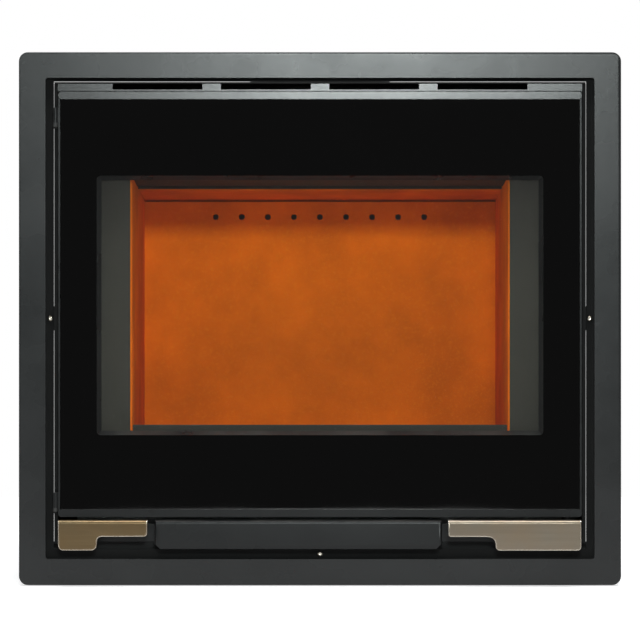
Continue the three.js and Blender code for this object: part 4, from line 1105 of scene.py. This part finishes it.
def studio_world(room_level, dark_side):
    """Even light that shows as white, and a dim side behind the camera that gloss sees."""
    world = bpy.data.worlds.new("studio")
    bpy.context.scene.world = world
    world.use_nodes = True
    tree = world.node_tree
    tree.nodes.clear()
    direction = put(tree, "ShaderNodeTexCoord").outputs["Generated"]
    parts = put(tree, "ShaderNodeSeparateXYZ", {0: direction}).outputs
    behind_camera = span(tree, parts["Y"], DARK_FROM, DARK_FULL)
    path = put(tree, "ShaderNodeLightPath").outputs
    gloss = calc(tree, "ADD", path["Is Glossy Ray"], path["Is Transmission Ray"], clamp=True)
    seen = calc(tree, "ADD", path["Is Camera Ray"], gloss, clamp=True)
    dark = calc(tree, "MULTIPLY", gloss, behind_camera)
    lit, white, dim = (
        put(tree, "ShaderNodeBackground", {"Color": (*shaded(tint, share), 1)})
        for tint, share in ((ROOM_TINT, room_level), (WHITE, 1), (WHITE, dark_side))
    )
    shown = put(tree, "ShaderNodeMixShader", {0: seen, 1: lit.outputs[0], 2: white.outputs[0]})
    whole = put(tree, "ShaderNodeMixShader", {0: dark, 1: shown.outputs[0], 2: dim.outputs[0]})
    out = put(tree, "ShaderNodeOutputWorld")
    tree.links.new(whole.outputs[0], out.inputs["Surface"])


def pale_floor(grey, lift):
    """A round matt floor that keeps the shadow and shows as white."""
    shape = bmesh.new()
    bmesh.ops.create_circle(shape, cap_ends=True, radius=FLOOR_RADIUS, segments=96)
    mesh = bpy.data.meshes.new("floor")
    shape.to_mesh(mesh)
    shape.free()
    floor = bpy.data.objects.new("floor", mesh)
    bpy.context.scene.collection.objects.link(floor)
    made, tree, shader, place = blank("pale_floor")
    shader.inputs["Base Color"].default_value = (grey, grey, grey, 1)
    shader.inputs["Roughness"].default_value = 0.9
    shader.inputs["Specular IOR Level"].default_value = 0.0
    path = put(tree, "ShaderNodeLightPath").outputs
    gloss = calc(tree, "ADD", path["Is Glossy Ray"], path["Is Transmission Ray"])
    seen = calc(tree, "ADD", path["Is Camera Ray"], gloss, clamp=True)
    glow = put(tree, "ShaderNodeEmission", {
        "Color": (*WHITE, 1), "Strength": calc(tree, "MULTIPLY", seen, lift),
    })
    both = put(tree, "ShaderNodeAddShader", {0: shader.outputs[0], 1: glow.outputs[0]})
    tree.links.new(both.outputs[0], tree.nodes["Material Output"].inputs["Surface"])
    mesh.materials.append(made)


def soft_lamp(name, place, target, size, radiance, tint=WHITE):
    """A rectangular lamp that faces its target and looks as bright as its radiance."""
    lamp = bpy.data.lights.new(name, "AREA")
    lamp.shape = "RECTANGLE"
    lamp.size, lamp.size_y = size
    lamp.energy = radiance * pi * size[0] * size[1]
    lamp.color = tint
    rig = bpy.data.objects.new(name, lamp)
    bpy.context.scene.collection.objects.link(rig)
    rig.location = place
    rig.rotation_euler = (Vector(target) - Vector(place)).to_track_quat("-Z", "Y").to_euler()


class INSERT_OT_stage(bpy.types.Operator):
    """Set up the floor, the soft lights and the camera."""
    bl_idname = "insert.stage"
    bl_label = "Stage"

    def execute(self, context):
        chosen = context.scene.insert_stage
        studio_world(chosen.room_level, chosen.dark_side)
        pale_floor(chosen.floor_grey, chosen.floor_lift)
        face_middle, top_middle = (0, FACE, 0.28), (0, 0, 0.3)
        soft_lamp("key", KEY_PLACE, face_middle, KEY_SIZE, chosen.key_strength, KEY_TINT)
        soft_lamp("overhead", OVERHEAD_PLACE, top_middle, OVERHEAD_SIZE,
                  chosen.overhead_strength)
        camera = bpy.data.cameras.new("camera")
        camera.sensor_width = 36
        camera.lens = camera.sensor_width * chosen.distance / chosen.width_seen
        camera.shift_y = (chosen.middle_seen - chosen.height) / chosen.width_seen
        camera.clip_end = 50
        viewer = bpy.data.objects.new("camera", camera)
        bpy.context.scene.collection.objects.link(viewer)
        viewer.location = (0, FACE - chosen.distance, chosen.height)
        viewer.rotation_euler = (radians(90), 0, 0)
        context.scene.camera = viewer
        context.scene.view_settings.view_transform = "Standard"
        return {"FINISHED"}


# ---------------------------------------------------------------- panel and run

STEPS = (
    INSERT_OT_trim, INSERT_OT_casing, INSERT_OT_firebox, INSERT_OT_linings,
    INSERT_OT_door, INSERT_OT_controls, INSERT_OT_hardware, INSERT_OT_stage,
)


class INSERT_PT_panel(bpy.types.Panel):
    """Lists the steps that dress the insert."""
    bl_label = "Fireplace Insert"
    bl_idname = "INSERT_PT_panel"
    bl_space_type = "VIEW_3D"
    bl_region_type = "UI"
    bl_category = "Insert"

    def draw(self, context):
        for step in STEPS:
            self.layout.operator(step.bl_idname)
        for settings in ("insert_sizes", "insert_colours", "insert_stage"):
            group = getattr(context.scene, settings)
            box = self.layout.box()
            for key in group.bl_rna.properties.keys():
                if key not in ("rna_type", "name"):
                    box.prop(group, key)


CLASSES = GROUPS + STEPS + (INSERT_PT_panel,)


def register():
    for cls in CLASSES:
        bpy.utils.register_class(cls)
    bpy.types.Scene.insert_sizes = PointerProperty(type=InsertSizes)
    bpy.types.Scene.insert_colours = PointerProperty(type=InsertColours)
    bpy.types.Scene.insert_stage = PointerProperty(type=StageSettings)


def unregister():
    for name in ("insert_sizes", "insert_colours", "insert_stage"):
        delattr(bpy.types.Scene, name)
    for cls in reversed(CLASSES):
        bpy.utils.unregister_class(cls)


def main():
    register()
    for step in STEPS:
        group, name = step.bl_idname.split(".")
        getattr(getattr(bpy.ops, group), name)()


if __name__ == "__main__":
    main()
